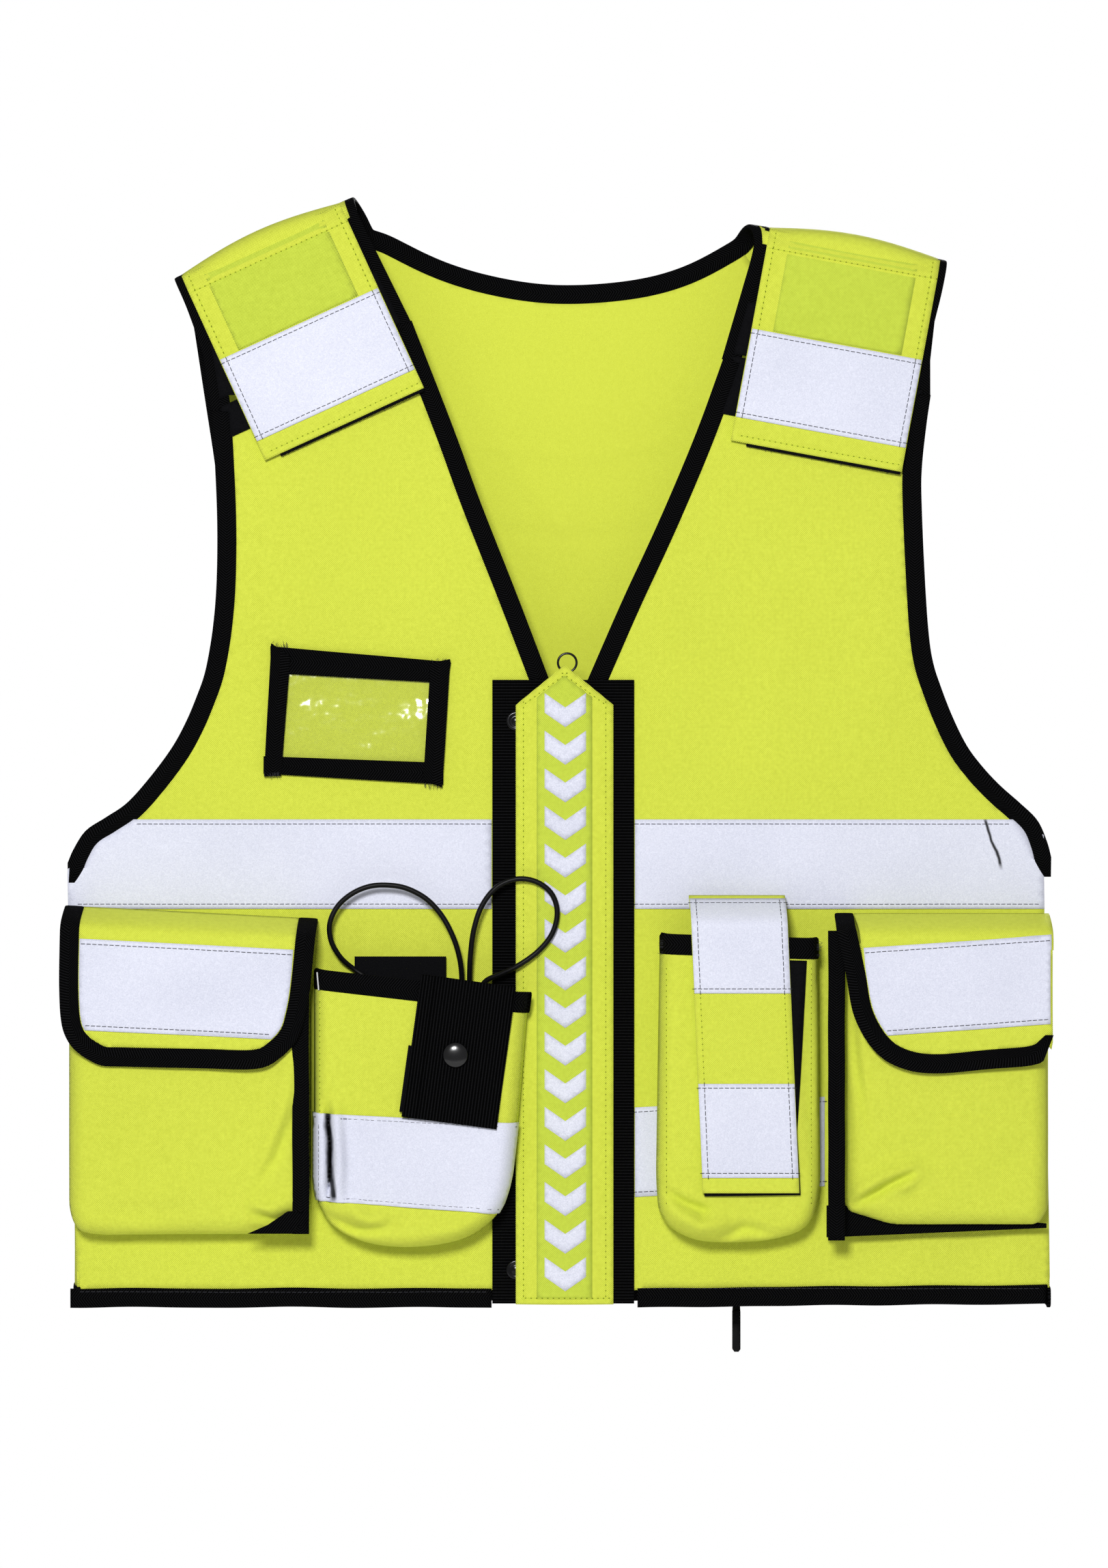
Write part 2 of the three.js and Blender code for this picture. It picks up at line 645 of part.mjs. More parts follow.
// ---- Cargo flaps, in their own frames: x along the fold, z down from it ----
const foldY = onFront - 2.3;
const flapFace = cargoFace - play - 1 - play - bindingProud - flapThick / 2;
const flapBend = -13;
const drawnEdge = 5.4; // the flap lines lie this far inside the binding's outer edge
const flaps = {
  right: {
    at: [footRight[0] + 4, footRight[1] + 218.5], tilt: 0.052, wide: [0.5, 128.5],
    line: smooth([[-0.6, -9], [1, -47.6], [5.6, -69.4], [19.2, -79.7], [31.3, -80.6], [75.3, -79.3],
      [105.4, -78.2], [116.1, -72.7], [124.1, -63.2], [127.2, -51], [128.8, -36.9], [130.1, -9]], 30),
  },
  left: {
    at: [footLeft[0] - 114, footLeft[1] + 214.5], tilt: 0, wide: [3.5, 113.5],
    line: smooth([[0, -8], [5, -31.5], [9.5, -54.5], [20, -72], [34, -80], [51.5, -82],
      [79, -79.5], [102, -77.5], [113, -73]], 24),
  },
};
for (const [side, { at, tilt, wide, line: drawn }] of Object.entries(flaps)) {
  const line = offset(drawn, edge - drawnEdge);
  const group = new THREE.Group();
  group.position.set(at[0], 0, at[1]);
  group.rotation.y = tilt;
  vest.add(group);
  const last = line.at(-1);
  const outline = side === "right" ? line : [...line, [last[0] + 0.5, flapBend]];
  const below = outline.filter((p) => p[1] < flapBend);
  const sheet = [[below[0][0], flapBend + 1], ...below, [below.at(-1)[0], flapBend + 1]];
  const back = flapFace + flapThick / 2;
  const cloth = boundCloth(sheet, back, flapThick, [line]);
  const top = bar(hangingProfile([foldY, 0], flapFace, flapBend, flapBend - 6, flapThick),
    wide[0] + edge + play, wide[1] - wide[0] - (side === "right" ? 2 : 1) * (edge + play));
  add(`cargo_flap_${side}`, joined(cloth, top), yellowCloth, group);
  add(`cargo_flap_binding_${side}`, binding(line, back, flapThick), blackWebbing, group);
}

// ---- Radio pouch ----
const radioFace = [[-139.5, 184], [-20, 170.5], [-25.6, 101.6], [-31.5, 51], [-52, 34.7], [-77, 29],
  [-104.4, 29.3], [-125.3, 35.6], [-139.8, 50]];
const radioBack = [[-138, 184], [-43, 173.3], [-43, 102], [-44, 55], [-58, 41], [-80, 37],
  [-104, 37], [-124, 43], [-138, 55]];
add("radio_pouch",
  pocket(moved(radioBack, ...footZip), moved(radioFace, ...footZip), pouchBack, pouchFace),
  yellowCloth);
add("radio_pouch_binding",
  plate(moved([[-138.5, 185], [-138.5, 173.5], [-20.5, 160], [-19, 171.5]], ...footZip),
    pouchFace - play, 1), blackWebbing);
add("radio_hook_tab",
  plate(moved(rectangle(-117.3, -66.2, 176, 191), ...footZip), pouchBack - pocketWall - play, 1.2),
  blackWebbing);

// The radio strap and its press stud, which lift together about the strap's top edge.
const strapBack = pouchFace - play - 1 - play;
const radioStrap = { at: [-79.4, 182.2 - length], tilt: 0.137, wide: 53, tall: 79.5 };
const strapGroup = new THREE.Group();
strapGroup.position.set(radioStrap.at[0], 0, radioStrap.at[1]);
strapGroup.rotation.y = radioStrap.tilt;
vest.add(strapGroup);
add("radio_strap",
  plate(rectangle(0, radioStrap.wide, -radioStrap.tall, 0), strapBack, strapThick),
  blackWebbing, strapGroup);
const cap = { radius: 7, high: 2.2, x: 24.9, z: -41.7 };
add("radio_strap_stud",
  new THREE.CylinderGeometry(cap.radius, cap.radius * 0.78, cap.high, 24)
    .translate(cap.x, strapBack - strapThick - play - cap.high / 2, cap.z),
  darkMetal, strapGroup);

// ---- Elastic loops: chosen routes, from where each is sewn in and back again ----
const cordLift = stripBack - strapThick - play - cordDiameter / 2;
const sewnY = pouchBack - pocketWall - play - cordDiameter / 2;
const loopRoutes = {
  left: [[-119.2, sewnY, -426.2], [-124.8, -25.5, -420.6], [-130, -27.6, -411.5], [-130.8, cordLift, -401.5],
    [-126.6, cordLift, -392], [-118.8, cordLift, -385], [-109.4, cordLift, -380.9], [-99.5, cordLift, -380],
    [-88.4, cordLift, -381.7], [-77, cordLift, -387.7], [-68.2, cordLift, -397.3], [-61.9, cordLift, -409.3],
    [-58.6, -27.4, -420.4], [-57.4, -25, -430.6], [-57.6, sewnY, -440]],
  right: [[-52.9, sewnY, -441], [-53, -25.4, -431], [-52.4, -27.8, -418.5], [-50.5, cordLift, -404.6],
    [-46, cordLift, -391.4], [-37.8, cordLift, -381.2], [-26.6, cordLift, -376.6], [-15.6, cordLift, -378.2],
    [-7.2, cordLift, -384.8], [-4.1, cordLift, -395.2], [-6.9, cordLift, -407], [-14.7, cordLift, -416.8],
    [-25.5, cordLift, -424.6], [-35.6, -27.9, -429.6], [-44, -25.6, -433.6], [-48.4, sewnY, -441]],
};
for (const [side, route] of Object.entries(loopRoutes)) {
  const path = new THREE.CatmullRomCurve3(route.map((p) => new THREE.Vector3(...p)));
  const section = new THREE.Shape(
    circle(0, 0, cordDiameter / 2, 8).map(([a, b]) => new THREE.Vector2(a, b)));
  const tube = new THREE.ExtrudeGeometry(section, { extrudePath: path, steps: 40, bevelEnabled: false });
  add(`elastic_loop_${side}`, tube, blackWebbing);
}

// ---- Torch pouch and its strap ----
const torchFace = [[53, 203.5], [141, 201.5], [142.7, 48], [133.5, 35], [99.6, 31.5], [64.3, 33], [50.5, 46]];
const torchBack = [[56, 203.5], [138, 201.5], [138, 54], [130, 43], [99, 40], [67, 41], [56, 52]];
add("torch_pouch",
  pocket(moved(torchBack, ...footZip), moved(torchFace, ...footZip), pouchBack, pouchFace),
  yellowCloth);
add("torch_pouch_binding",
  plate(moved([[53.5, 204.5], [53.5, 193], [140.5, 190], [140.5, 202]], ...footZip), pouchFace - play, 1),
  blackWebbing);

const torchStrap = { left: 69.2, wide: 53.6, top: 226 - length, low: 61 - length, lean: 0.043 };
function torchStrapShape() {
  const profile = hangingProfile([foldY, torchStrap.top], strapBack - strapThick / 2,
    torchStrap.top - 18, torchStrap.low, strapThick);
  const strap = bar(profile, torchStrap.left, torchStrap.wide);
  const lean = new THREE.Matrix4().set(
    1, 0, -torchStrap.lean, torchStrap.lean * torchStrap.top, 0, 1, 0, 0, 0, 0, 1, 0, 0, 0, 0, 1);
  return strap.applyMatrix4(lean);
}
add("torch_strap", torchStrapShape(), yellowCloth);

// ---- Shoulder tabs, each with its own tape, in frames with x along the shoulder fold ----
const tabFold = onFront - patchThick - play - flapThick / 2;
for (const [side, tall, top] of [["right", 115, 53.5], ["left", 122, 58.5]]) {
  const { start, tilt, long } = shoulders[side];
  const group = new THREE.Group();
  group.position.set(start[0], 0, start[1]);
  group.rotation.y = -tilt;
  vest.add(group);
  add(`shoulder_tab_${side}`,
    plate(rectangle(0, long, -tall, -foldStep), tabFold + flapThick / 2, flapThick),
    yellowCloth, group);
  add(`shoulder_tape_${side}`,
    plate(rectangle(0.5, long - 0.5, -top - tapeWidth, -top), tabFold - flapThick / 2 - play, tapeThick),
    silverTape, group);
}

export default vest;
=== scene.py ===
# %% [markdown]
# # A high visibility vest
# The vest hangs upright, zipped up. Its real parts are cut cloth, woven bindings, glass bead
# tape and a few metal fittings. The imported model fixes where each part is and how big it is.
# This script gives each part the shape and finish of cloth, without moving anything.

# %% Load the frame and keep its size
import json
import math

import bmesh
import bpy
import numpy as np
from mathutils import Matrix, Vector, geometry


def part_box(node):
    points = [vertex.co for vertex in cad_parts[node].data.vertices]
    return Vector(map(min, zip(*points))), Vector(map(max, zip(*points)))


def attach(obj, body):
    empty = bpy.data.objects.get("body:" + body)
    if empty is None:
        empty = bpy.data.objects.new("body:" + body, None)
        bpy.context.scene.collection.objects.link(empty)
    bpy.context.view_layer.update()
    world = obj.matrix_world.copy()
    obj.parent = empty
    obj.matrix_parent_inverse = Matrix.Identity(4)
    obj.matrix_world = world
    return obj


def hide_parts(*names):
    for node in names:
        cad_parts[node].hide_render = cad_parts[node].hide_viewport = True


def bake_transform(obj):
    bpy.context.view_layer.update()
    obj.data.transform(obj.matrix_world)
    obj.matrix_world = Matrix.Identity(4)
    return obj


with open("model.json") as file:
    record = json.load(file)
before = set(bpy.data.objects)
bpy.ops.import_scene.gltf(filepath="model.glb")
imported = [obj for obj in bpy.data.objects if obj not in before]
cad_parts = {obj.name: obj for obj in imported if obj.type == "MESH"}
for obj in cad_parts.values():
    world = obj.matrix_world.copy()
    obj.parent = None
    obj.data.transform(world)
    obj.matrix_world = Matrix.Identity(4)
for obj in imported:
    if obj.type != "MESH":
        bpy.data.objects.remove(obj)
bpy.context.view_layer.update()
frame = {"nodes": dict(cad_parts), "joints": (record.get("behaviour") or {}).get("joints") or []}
cad_nodes = frame["nodes"]
joints = {j["name"]: j for j in frame["joints"]}
mm = 0.001

# %% [markdown]
# ## The camera and the light
# A garment is shown straight on, through a long lens, so that its sides don't fan out. The
# light is a wide soft panel just above the lens and a bright room round it: cloth then keeps
# its own colour, and a fold still shows by a slight change of shade.

# %% Camera
scene = bpy.context.scene
view_distance = 2.6
view_height = 0.8763  # of the object's plane, from the top of the picture to its foot
view_centre = (-5.9 * mm, -323.7 * mm)
front_plane = -20 * mm
camera_data = bpy.data.cameras.new("camera")
camera_data.lens = camera_data.sensor_width * view_distance / view_height
camera = bpy.data.objects.new("camera", camera_data)
camera.location = (view_centre[0], front_plane - view_distance, view_centre[1])
camera.rotation_euler = (math.radians(90), 0, 0)
scene.collection.objects.link(camera)
scene.camera = camera
scene.view_settings.view_transform = "Standard"
print("the lens is", round(camera_data.lens, 1), "mm long")


# %% Lights, the room and the floor
def soft_panel(name, place, aim, wide, tall, power):
    """A rectangular soft light at place that faces aim."""
    data = bpy.data.lights.new(name, "AREA")
    data.shape, data.size, data.size_y, data.energy = "RECTANGLE", wide, tall, power
    light = bpy.data.objects.new(name, data)
    light.location = place
    light.rotation_euler = (Vector(aim) - Vector(place)).to_track_quat("-Z", "Y").to_euler()
    scene.collection.objects.link(light)


vest_middle = (0, 0, -0.32)
soft_panel("front_light", (-0.3, -2.3, 0.42), vest_middle, 0.45, 0.45, 48)
soft_panel("back_light", (0.5, 2.4, 0.7), vest_middle, 0.9, 0.9, 64)

world = bpy.data.worlds.new("room")
scene.world = world
world.use_nodes = True
room = world.node_tree
room.nodes.clear()
room_out = room.nodes.new("ShaderNodeOutputWorld")
seen = room.nodes.new("ShaderNodeBackground")
seen.inputs["Color"].default_value = (1, 1, 1, 1)
felt = room.nodes.new("ShaderNodeBackground")
felt.inputs["Color"].default_value = (1, 1, 1, 1)
felt.inputs["Strength"].default_value = 0.27
which = room.nodes.new("ShaderNodeMixShader")
ray = room.nodes.new("ShaderNodeLightPath")
room.links.new(ray.outputs["Is Camera Ray"], which.inputs["Fac"])
room.links.new(felt.outputs[0], which.inputs[1])
room.links.new(seen.outputs[0], which.inputs[2])
room.links.new(which.outputs[0], room_out.inputs["Surface"])

bpy.ops.mesh.primitive_circle_add(vertices=96, radius=1.5, fill_type="NGON", location=(0, 0, -1.05))
floor = bpy.context.object
floor.name = "floor"
print("a camera, two soft panels, a white room and a floor")

# %% [markdown]
# ## Finishes
# Each finish is a small tree of nodes. The weave reads the piece's own UV map, which is in
# metres along the cloth, so that the threads follow the cloth round every fold.


# %% A helper that adds nodes
def finish(name, colour, rough, specular):
    """A material with its Principled shader, and a function that adds nodes to its tree."""
    made = bpy.data.materials.new(name)
    made.use_nodes = True
    made.diffuse_color = (*colour, 1)
    tree = made.node_tree
    shader = tree.nodes["Principled BSDF"]
    shader.inputs["Base Color"].default_value = (*colour, 1)
    shader.inputs["Roughness"].default_value = rough
    shader.inputs["Specular IOR Level"].default_value = specular

    def put(kind, *values, out=0, **settings):
        node = tree.nodes.new("ShaderNode" + kind)
        for key, value in settings.items():
            setattr(node, key, value)
        for slot, value in enumerate(values):
            if value is None:
                continue
            if isinstance(value, bpy.types.NodeSocket):
                tree.links.new(value, node.inputs[slot])
            else:
                node.inputs[slot].default_value = value
        return node.outputs[out]

    def wire(value, socket):
        tree.links.new(value, shader.inputs[socket])

    return made, put, wire, shader


def threads(put, across, along):
    """The UV map's two directions as phases: how many radians of each thread have passed."""
    uv = put("UVMap", out=0)
    both = put("SeparateXYZ", uv)
    u, v = both.node.outputs[0], both.node.outputs[1]
    turn = 2 * math.pi
    return (
        put("Math", u, turn / along, operation="MULTIPLY"),
        put("Math", v, turn / across, operation="MULTIPLY"))


def tint(put, factor, dark, light):
    """A colour between two, by a factor."""
    node = put("Mix", data_type="RGBA", out=2).node
    node.inputs[6].default_value = (*dark, 1)
    node.inputs[7].default_value = (*light, 1)
    node.id_data.links.new(factor, node.inputs[0])
    return node.outputs[2]


def bumped(put, wire, height, distance, strength=1.0):
    """Sends a height to the shader's normal."""
    wire(put("Bump", strength, distance, None, height), "Normal")


# %% Yellow cloth: oxford weave, each thread standing over its neighbour in turn
def cloth_finish(name, dark, light, thread=1.15 * mm, relief=0.16 * mm):
    made, put, wire, shader = finish(name, light, 0.82, 0.12)
    u, v = threads(put, thread, thread)
    weave = put(
        "Math", put("Math", u, operation="SINE"), put("Math", v, operation="SINE"), operation="MULTIPLY")
    place = put("TexCoord", out=3)
    slub = put("TexNoise", place, None, 420.0, 3.0, 0.6)
    cloud = put("TexNoise", place, None, 9.0, 3.0, 0.5)
    height = put("Math", weave, slub, 0.0, operation="ADD")
    weight = put("Math", weave, 0.3, 0.3, operation="MULTIPLY_ADD")
    weight = put("Math", slub, 0.5, weight, operation="MULTIPLY_ADD")
    weight = put("Math", cloud, 0.15, weight, operation="MULTIPLY_ADD")
    wire(tint(put, weight, dark, light), "Base Color")
    bumped(put, wire, height, relief)
    shader.inputs["Sheen Weight"].default_value = 0.04
    return made


yellow_cloth = cloth_finish("yellow_cloth", (0.46, 0.52, 0.030), (0.82, 0.905, 0.098))
yellow_backed = cloth_finish("yellow_cloth_backed", (0.39, 0.48, 0.028), (0.70, 0.835, 0.090))
yellow_lining = cloth_finish("yellow_lining", (0.56, 0.62, 0.045), (0.72, 0.80, 0.082), 0.7 * mm, 0.06 * mm)


# %% Silver tape: glass beads on cloth, which glitter as fine grains
def painted_crease_shade(put, place, low, high, lean, width):
    """Painted shade along a crease: 1 along a nearly upright line between two places in x and z, and 0 away
    from it.
    """
    axes = put("SeparateXYZ", place).node.outputs
    wobble = put("TexNoise", place, None, 60.0, 2.0, 0.5)
    along = put("Math", axes[2], lean, -high[1] * lean - high[0], operation="MULTIPLY_ADD")
    off = put("Math", axes[0], along, operation="ADD")
    off = put("Math", wobble, 6 * mm, off, operation="MULTIPLY_ADD")
    off = put("Math", put("Math", off, 3 * mm, operation="SUBTRACT"), operation="ABSOLUTE")
    near = put("MapRange", off, 0.3 * width, width, 1.0, 0.0)
    inside_top = put("MapRange", axes[2], high[1], high[1] - 4 * mm, 0.0, 1.0)
    inside_foot = put("MapRange", axes[2], low[1], low[1] + 4 * mm, 0.0, 1.0)
    return put("Math", put("Math", near, inside_top, operation="MULTIPLY"), inside_foot, operation="MULTIPLY")


def bead_finish(name, dark, light, crease_shades=()):
    made, put, wire, _ = finish(name, light, 0.5, 0.25)
    place = put("TexCoord", out=3)
    grains = put("TexVoronoi", place, None, 2300.0, feature="F1", out=1)
    grain = put("SeparateXYZ", grains, out=0)
    coarse = put("TexNoise", place, None, 700.0, 2.0, 0.7)
    cloud = put("TexNoise", place, None, 14.0, 3.0, 0.5)
    weight = put("Math", grain, 0.45, -0.08, operation="MULTIPLY_ADD")
    weight = put("Math", coarse, 0.5, weight, operation="MULTIPLY_ADD")
    weight = put("Math", cloud, 0.5, weight, operation="MULTIPLY_ADD", use_clamp=True)
    colour = tint(put, weight, dark, light)
    # Each crease given paints a dark line of shade into the tape's colour.
    for crease_shade in crease_shades:
        shaded = put("Mix", data_type="RGBA", out=2).node
        made.node_tree.links.new(colour, shaded.inputs[6])
        # The near black colour of the painted crease shade.
        shaded.inputs[7].default_value = (0.015, 0.016, 0.02, 1)
        made.node_tree.links.new(painted_crease_shade(put, place, *crease_shade), shaded.inputs[0])
        colour = shaded.outputs[2]
    wire(colour, "Base Color")
    bumped(put, wire, put("Math", grain, coarse, operation="ADD"), 0.05 * mm)
    return made


silver_tape = bead_finish("silver_tape", (0.53, 0.55, 0.67), (0.76, 0.775, 0.89))
# This copy paints a line of shade along two creases: one on the radio pouch's tape and one near the outer end
# of the left chest tape.
silver_crease_shaded = bead_finish("silver_tape_folded", (0.53, 0.55, 0.67), (0.76, 0.775, 0.89), [
    ((-129 * mm, -556 * mm), (-132.5 * mm, -500 * mm), 0.075, 2.6 * mm),
    ((244 * mm, -372 * mm), (235 * mm, -341 * mm), 0.28, 1.5 * mm),
])
silver_print = bead_finish("silver_print", (0.47, 0.49, 0.60), (0.79, 0.80, 0.91))


# %% Black webbing: ribs across the run, and a slanting twill on the bindings
def webbing_finish(name, rib, lean, relief=0.3 * mm):
    made, put, wire, _ = finish(name, (0.0045, 0.0045, 0.005), 0.85, 0.03)
    u, v = threads(put, 0.9 * mm, rib)
    slope = put("Math", put("Math", v, operation="ABSOLUTE"), lean, u, operation="MULTIPLY_ADD")
    ribs = put("Math", slope, operation="SINE")
    yarns = put("Math", v, operation="SINE")
    height = put("Math", yarns, 0.3, ribs, operation="MULTIPLY_ADD")
    place = put("TexCoord", out=3)
    fuzz = put("TexNoise", place, None, 900.0, 2.0, 0.7)
    height = put("Math", fuzz, 0.9, height, operation="MULTIPLY_ADD")
    # The colour follows the height of the ribs, yarns and fuzz: a painted highlight on their tops and painted
    # shade in the hollows between them.
    weight = put("Math", height, 0.34, -0.02, operation="MULTIPLY_ADD", use_clamp=True)
    wire(tint(put, weight, (0.0006, 0.0006, 0.0007), (0.017, 0.017, 0.019)), "Base Color")
    bumped(put, wire, height, relief)
    return made


black_binding = webbing_finish("black_binding", 1.5 * mm, 0.45)
black_webbing = webbing_finish("black_webbing", 1.7 * mm, 0.0, 0.45 * mm)


# %% Fuzzy loops, rubber, moulded plastic, metal, thread and clear film
def grained_finish(name, dark, light, scale, relief, rough, specular, metallic=0.0):
    made, put, wire, shader = finish(name, light, rough, specular)
    place = put("TexCoord", out=3)
    grain = put("TexNoise", place, None, scale, 4.0, 0.7)
    wire(tint(put, grain, dark, light), "Base Color")
    bumped(put, wire, grain, relief)
    shader.inputs["Metallic"].default_value = metallic
    return made


hook_and_loop = grained_finish(
    "hook_and_loop", (0.0006, 0.0006, 0.0008), (0.011, 0.011, 0.013), 1500.0, 0.8 * mm, 0.95, 0.03)
black_rubber = grained_finish(
    "black_rubber", (0.001, 0.001, 0.001), (0.005, 0.005, 0.006), 800.0, 0.03 * mm, 0.4, 0.12)
dark_metal = grained_finish(
    "dark_metal", (0.010, 0.010, 0.011), (0.026, 0.026, 0.028), 160.0, 0.01 * mm, 0.2, 0.5, 0.8)
black_enamel = grained_finish(
    "black_enamel", (0.002, 0.002, 0.002), (0.004, 0.004, 0.005), 90.0, 0.01 * mm, 0.2, 0.6)
dark_thread = grained_finish(
    "dark_thread", (0.012, 0.012, 0.016), (0.05, 0.05, 0.06), 3000.0, 0.05 * mm, 0.8, 0.1)
yellow_thread = grained_finish(
    "yellow_thread", (0.5, 0.6, 0.04), (0.72, 0.8, 0.09), 3000.0, 0.05 * mm, 0.8, 0.1)
needle_hole = grained_finish(
    "needle_hole", (0.16, 0.2, 0.01), (0.26, 0.32, 0.02), 2000.0, 0.01 * mm, 0.95, 0.02)
pale_thread = grained_finish("pale_thread", (0.5, 0.5, 0.5), (0.8, 0.8, 0.8), 3000.0, 0.05 * mm, 0.8, 0.1)


def film_finish():
    """Clear vinyl: mostly see-through, and glossy where its crinkles catch the light."""
    made, put, _, _ = finish("clear_film", (0.93, 0.98, 0.72), 0.06, 0.7)
    place = put("TexCoord", out=3)
    wrinkle = put("TexNoise", place, None, 62.0, 2.0, 0.5, None, 1.6)
    normal = put("Bump", 0.9, 1.6 * mm, None, wrinkle)
    tree = made.node_tree
    clear = put("BsdfTransparent", (0.995, 1.0, 0.97, 1))
    gloss = tree.nodes.new("ShaderNodeBsdfGlossy")
    gloss.inputs["Roughness"].default_value = 0.09
    tree.links.new(normal, gloss.inputs["Normal"])
    both = tree.nodes.new("ShaderNodeMixShader")
    both.inputs[0].default_value = 0.07
    tree.links.new(clear, both.inputs[1])
    tree.links.new(gloss.outputs[0], both.inputs[2])
    tree.links.new(both.outputs[0], tree.nodes["Material Output"].inputs["Surface"])
    return made


clear_film = film_finish()
print(len(bpy.data.materials), "materials are in the file")

# %% [markdown]
# ## Reading an outline from the frame
# A cut piece of cloth is flat before it is sewn. Its outline is the edge of the flat face of
# the solid that stands for it in the frame, so the cloth is cut from that edge and comes out
# the right size.


# %% Outlines and rails
def flat_outlines(node, look=-1.0):
    """The outlines, as x and z, of the flat face of a node that looks along Y times look."""
    bm = bmesh.new()
    bm.from_mesh(cad_nodes[node].data)
    bmesh.ops.remove_doubles(bm, verts=bm.verts, dist=0.004 * mm)
    bm.normal_update()
    facing = [f for f in bm.faces if f.normal.y * look > 0.995 and f.calc_area() > 1e-10]
    level = max(f.calc_center_median().y * look for f in facing)
    # A list keeps the faces in order, so that an outline starts at the same corner in each run.
    chosen = [f for f in facing if level - f.calc_center_median().y * look < 0.25 * mm]
    among = set(chosen)
    after = {}
    for face in chosen:
        for loop in face.loops:
            if sum(g in among for g in loop.edge.link_faces) == 1:
                after[loop.vert.index] = loop.link_loop_next.vert.index
    bm.verts.ensure_lookup_table()
    found = []
    while after:
        start = here = next(iter(after))
        outline = []
        while here in after:
            outline.append((bm.verts[here].co.x, bm.verts[here].co.z))
            here = after.pop(here)
            if here == start:
                break
        if len(outline) > 2:
            found.append(without_slivers(np.array(outline)))
    bm.free()
    return sorted(found, key=lambda p: -length_of(p, True))


def length_of(points, closed=False):
    ends = np.roll(points, -1, 0) if closed else points[1:]
    starts = points if closed else points[:-1]
    return float(np.linalg.norm(ends - starts, axis=1).sum())


def turning(outline):
    """How far the outline turns at each point, in degrees."""
    before = outline - np.roll(outline, 1, 0)
    after = np.roll(outline, -1, 0) - outline
    cross = before[:, 0] * after[:, 1] - before[:, 1] * after[:, 0]
    return np.degrees(np.arctan2(cross, (before * after).sum(1)))


def without_slivers(outline, near=0.05 * mm):
    keep = np.linalg.norm(outline - np.roll(outline, 1, 0), axis=1) > near
    outline = outline[keep]
    return outline[np.abs(turning(outline)) > 0.3]


def chains(outline, corner=33.0):
    """The stretches of an outline between its corners."""
    corners = np.flatnonzero(np.abs(turning(outline)) > corner)
    if len(corners) < 2:
        return [np.vstack([outline, outline[:1]])]
    found = []
    for i, start in enumerate(corners):
        end = corners[(i + 1) % len(corners)]
        count = (end - start) % len(outline) or len(outline)
        found.append(outline[(start + np.arange(count + 1)) % len(outline)])
    return found


def curved(points, step):
    """Points a step apart on a smooth line through the given ones."""
    points = np.asarray(points, float)
    if len(points) > 2:
        padded = np.vstack([2 * points[0] - points[1], points, 2 * points[-1] - points[-2]])
        t = np.linspace(0, 1, 13)[:-1, None]
        spans = []
        for a, b, c, d in zip(padded, padded[1:], padded[2:], padded[3:]):
            spans.append(
                0.5
                * (2 * b + (c - a) * t + (2 * a - 5 * b + 4 * c - d) * t**2 + (3 * b - a - 3 * c + d) * t**3))
        points = np.vstack([*spans, points[-1:]])
    return evenly(points, max(2, round(length_of(points) / step) + 1))


def evenly(points, count):
    """count points along an open line, the same distance apart."""
    points = np.asarray(points, float)
    far = np.concatenate([[0], np.cumsum(np.linalg.norm(np.diff(points, axis=0), axis=1))])
    where = np.linspace(0, far[-1], count)
    return np.stack([np.interp(where, far, points[:, k]) for k in range(points.shape[1])], 1)


def smooth_outline(outline, step):
    return np.vstack([curved(chain, step)[:-1] for chain in chains(outline)])


def grown(outline, distance):
    """An outline moved outwards (or inwards, where distance is negative)."""
    area = (outline[:, 0] * np.roll(outline[:, 1], -1) - outline[:, 1] * np.roll(outline[:, 0], -1)).sum()
    side = np.roll(outline, -1, 0) - np.roll(outline, 1, 0)
    side /= np.linalg.norm(side, axis=1)[:, None] + 1e-12
    return outline + distance * math.copysign(1, area) * np.stack([side[:, 1], -side[:, 0]], 1)


def rails(outline, step):
    """The two long sides of a strip, running the same way, with as many points each."""
    first, second = sorted(chains(outline), key=lambda c: -length_of(c))[:2]
    second = second[::-1]
    count = max(2, round(length_of(first) / step) + 1)
    sides = [evenly(curved(side, step / 3), count) for side in (first, second)]
    return sides[0], sides[1]


def clipped(outline, point, normal):
    """The part of an outline on the side of a line that its normal points to."""
    point, normal = np.array(point), np.array(normal)
    kept = []
    depth = (outline - point) @ normal
    for i, here in enumerate(outline):
        j = (i + 1) % len(outline)
        if depth[i] >= 0:
            kept.append(here)
        if depth[i] * depth[j] < 0:
            share = depth[i] / (depth[i] - depth[j])
            kept.append(here + share * (outline[j] - here))
    return np.array(kept)


print(
    "the right front's outline is", round(length_of(flat_outlines("front_panel_right")[0], True), 3),
    "m round")

# %% [markdown]
# ## From flat pattern to hanging cloth
# A surface is a function that takes pattern coordinates, across and along, to a place in
# space. Everything sewn to a front uses the front's own surface, with a height above it, so a
# fold that goes through the cloth goes through the tape and the binding on it as well.


# %% Height above a surface
def lifted(surface, a, s, height, way=1):
    """Points of a surface, moved along its normal. way is -1 where the outside faces +Y."""
    small = 0.3 * mm
    a, s, height = np.broadcast_arrays(np.asarray(a, float), s, height)
    across = surface(a + small, s) - surface(a - small, s)
    along = surface(a, s + small) - surface(a, s - small)
    normal = np.cross(across, along)
    normal /= np.linalg.norm(normal, axis=-1, keepdims=True) + 1e-15
    return surface(a, s) + normal * height[..., None] * way


def ease(x, start, end):
    """0 before start, 1 after end, and smooth between."""
    t = np.clip((x - start) / (end - start), 0, 1)
    return t * t * (3 - 2 * t)


def ripple(a, s, size, seed, stretch=1.0):
    """A gentle waviness about 0, between -1 and 1, with waves of about the given size."""
    draw = np.random.default_rng(seed)
    total = 0.0
    for _ in range(7):
        heading, phase, scale = draw.uniform(0, math.pi), draw.uniform(0, 6.3), draw.uniform(0.7, 1.5)
        k = 2 * math.pi / (size * scale)
        total = total + np.sin(k * (a * math.cos(heading) + s * math.sin(heading) / stretch) + phase)
    return total / 4.5


